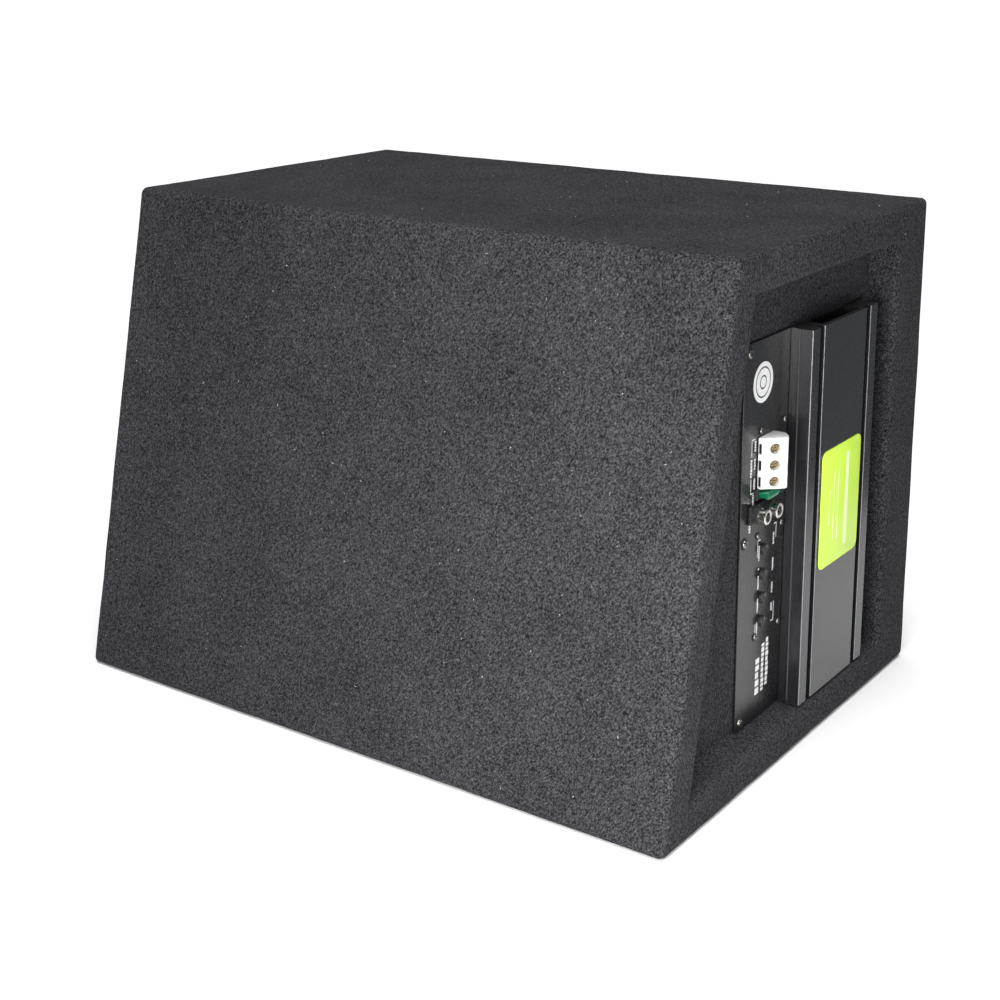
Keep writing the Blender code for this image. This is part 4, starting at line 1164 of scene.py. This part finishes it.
def dress_frame():
    """Finishes for the pieces whose CAD shape is already right."""
    boards = ("driver_baffle", "sloped_back_panel", "bottom_panel", "top_panel")
    dress(BOARD, *boards, "plain_end_panel", "recess_rim_board", "amplifier_board")
    dress(WADDING, "acoustic_wadding")
    dress(STEEL, "amplifier_chassis", "magnet_top_plate", "magnet_back_plate")
    dress(STEEL, *(name.replace("knob", "potentiometer") for name in KNOBS))
    dress(CIRCUIT, "circuit_board")
    dress(COPPER, "toroidal_transformer", "voice_coil")
    dress(SLEEVE, "capacitor_1", "capacitor_2")
    dress(AMBER, "voice_coil_former")
    dress(CLOTH, "driver_spider")
    dress(FERRITE, "driver_magnet")
    dress(BLACK_PLASTIC, "driver_terminal_strip", "negative_lead")
    dress(RED_LEAD, "positive_lead")


# ---- stage -------------------------------------------------------------------------------------------------
def camera():
    """The camera, which looks at the amplifier's end and the sloped back from a little above."""
    data = bpy.data.cameras.new("camera")
    data.lens = 59.15
    data.sensor_width = 36.0
    data.shift_x = -0.06
    data.shift_y = -0.12
    data.clip_start = 0.05
    data.clip_end = 60.0
    obj = new_object("camera", data)
    obj.location = (-0.6848, 0.9305, 0.5261)
    obj.rotation_euler = Vector((0.5435, -0.7985, -0.2588)).to_track_quat("-Z", "Y").to_euler()
    bpy.context.scene.camera = obj


def softbox(name, place, target, size, power):
    """A square area light aimed at a point."""
    data = bpy.data.lights.new(name, "AREA")
    data.size = size
    data.energy = power
    obj = new_object(name, data)
    obj.location = place
    obj.rotation_euler = (Vector(target) - Vector(place)).to_track_quat("-Z", "Y").to_euler()
    obj.visible_camera = False


def overhead(out, power, spread):
    """A soft light from far above; out points towards it."""
    data = bpy.data.lights.new("overhead", "SUN")
    data.energy = power
    data.angle = math.radians(spread)
    obj = new_object("overhead", data)
    obj.rotation_euler = (-Vector(out)).to_track_quat("-Z", "Y").to_euler()


def flat_stage(name, place, size, look, pole=(0, 0, 1), unseen=()):
    """A flat stage piece, unseen by some kinds of ray."""
    bm = bmesh.new()
    bmesh.ops.create_grid(bm, x_segments=1, y_segments=1, size=0.5)
    fit = facing(place, pole) @ Matrix.Diagonal((size[0], size[1], 1.0, 1.0))
    bmesh.ops.transform(bm, matrix=fit, verts=bm.verts)
    obj = built(name, bm, [look], outward=False)
    for kind in unseen:
        setattr(obj, "visible_" + kind, False)


def glowing(name, colour, glow, strength):
    """A matt stage colour with a faint glow of its own."""
    made = Surface(name, colour, 0.9, Emission_Strength=strength)
    made.shader.inputs["Emission Color"].default_value = (*glow, 1.0)
    return made.material


def stage():
    """Pale floor and surroundings, soft lights, and a dark flag that only the gloss of the metal picks up."""
    white = (1.0, 1.0, 1.0)
    flat_stage("floor", (0, 0, -0.0005), (60, 60), glowing("pale_floor", (0.68, 0.68, 0.68), white, 0.05))
    flag_look = glowing("black_flag", (0.004, 0.004, 0.005), (0.9, 0.95, 1.0), 0.20)
    unseen = ("camera", "diffuse", "shadow", "transmission")
    flat_stage("flag", (-0.52, -0.38, 0.70), (2.6, 1.4), flag_look, (0.60, 0.80, 0.0), unseen)
    wall_look = glowing("pale_backdrop", (0.92, 0.92, 0.92), white, 1.0)
    unseen = ("diffuse", "glossy", "shadow", "transmission")
    for k, (x, y) in enumerate(((1, 0), (-1, 0), (0, 1), (0, -1))):
        flat_stage("backdrop_%d" % (k + 1), (29 * x, 29 * y, 10), (60, 60), wall_look, (-x, -y, 0), unseen)
    world = bpy.data.worlds.new("world")
    bpy.context.scene.world = world
    world.use_nodes = True
    world.node_tree.nodes["Background"].inputs["Color"].default_value = (*white, 1.0)
    world.node_tree.nodes["Background"].inputs["Strength"].default_value = 0.10
    softbox("key", (-0.40, 0.60, 0.27), (-0.05, 0.12, 0.12), 0.30, 6.0)
    overhead((-0.04, 0.05, 1), 4.5, 50)
    bpy.context.scene.view_settings.view_transform = "Standard"


# ---- build -------------------------------------------------------------------------------------------------
camera()
stage()
carpet_cover()
loose_fibres()
heatsink()
label()
softened("amplifier_plate", 0.00025, PLATE_BLACK)
softened("fuse_holder", 0.0002, BLACK_PLASTIC)
softened("jack_housing", 0.0003, BLACK_PLASTIC)
plate_screws()
knobs()
terminal_block()
blade_fuse()
jacks()
lamp()
plate_print()
emblem()
softened("driver_basket", 0.0004, COATED)
driver_gasket()
surround()
cone()
dress_frame()
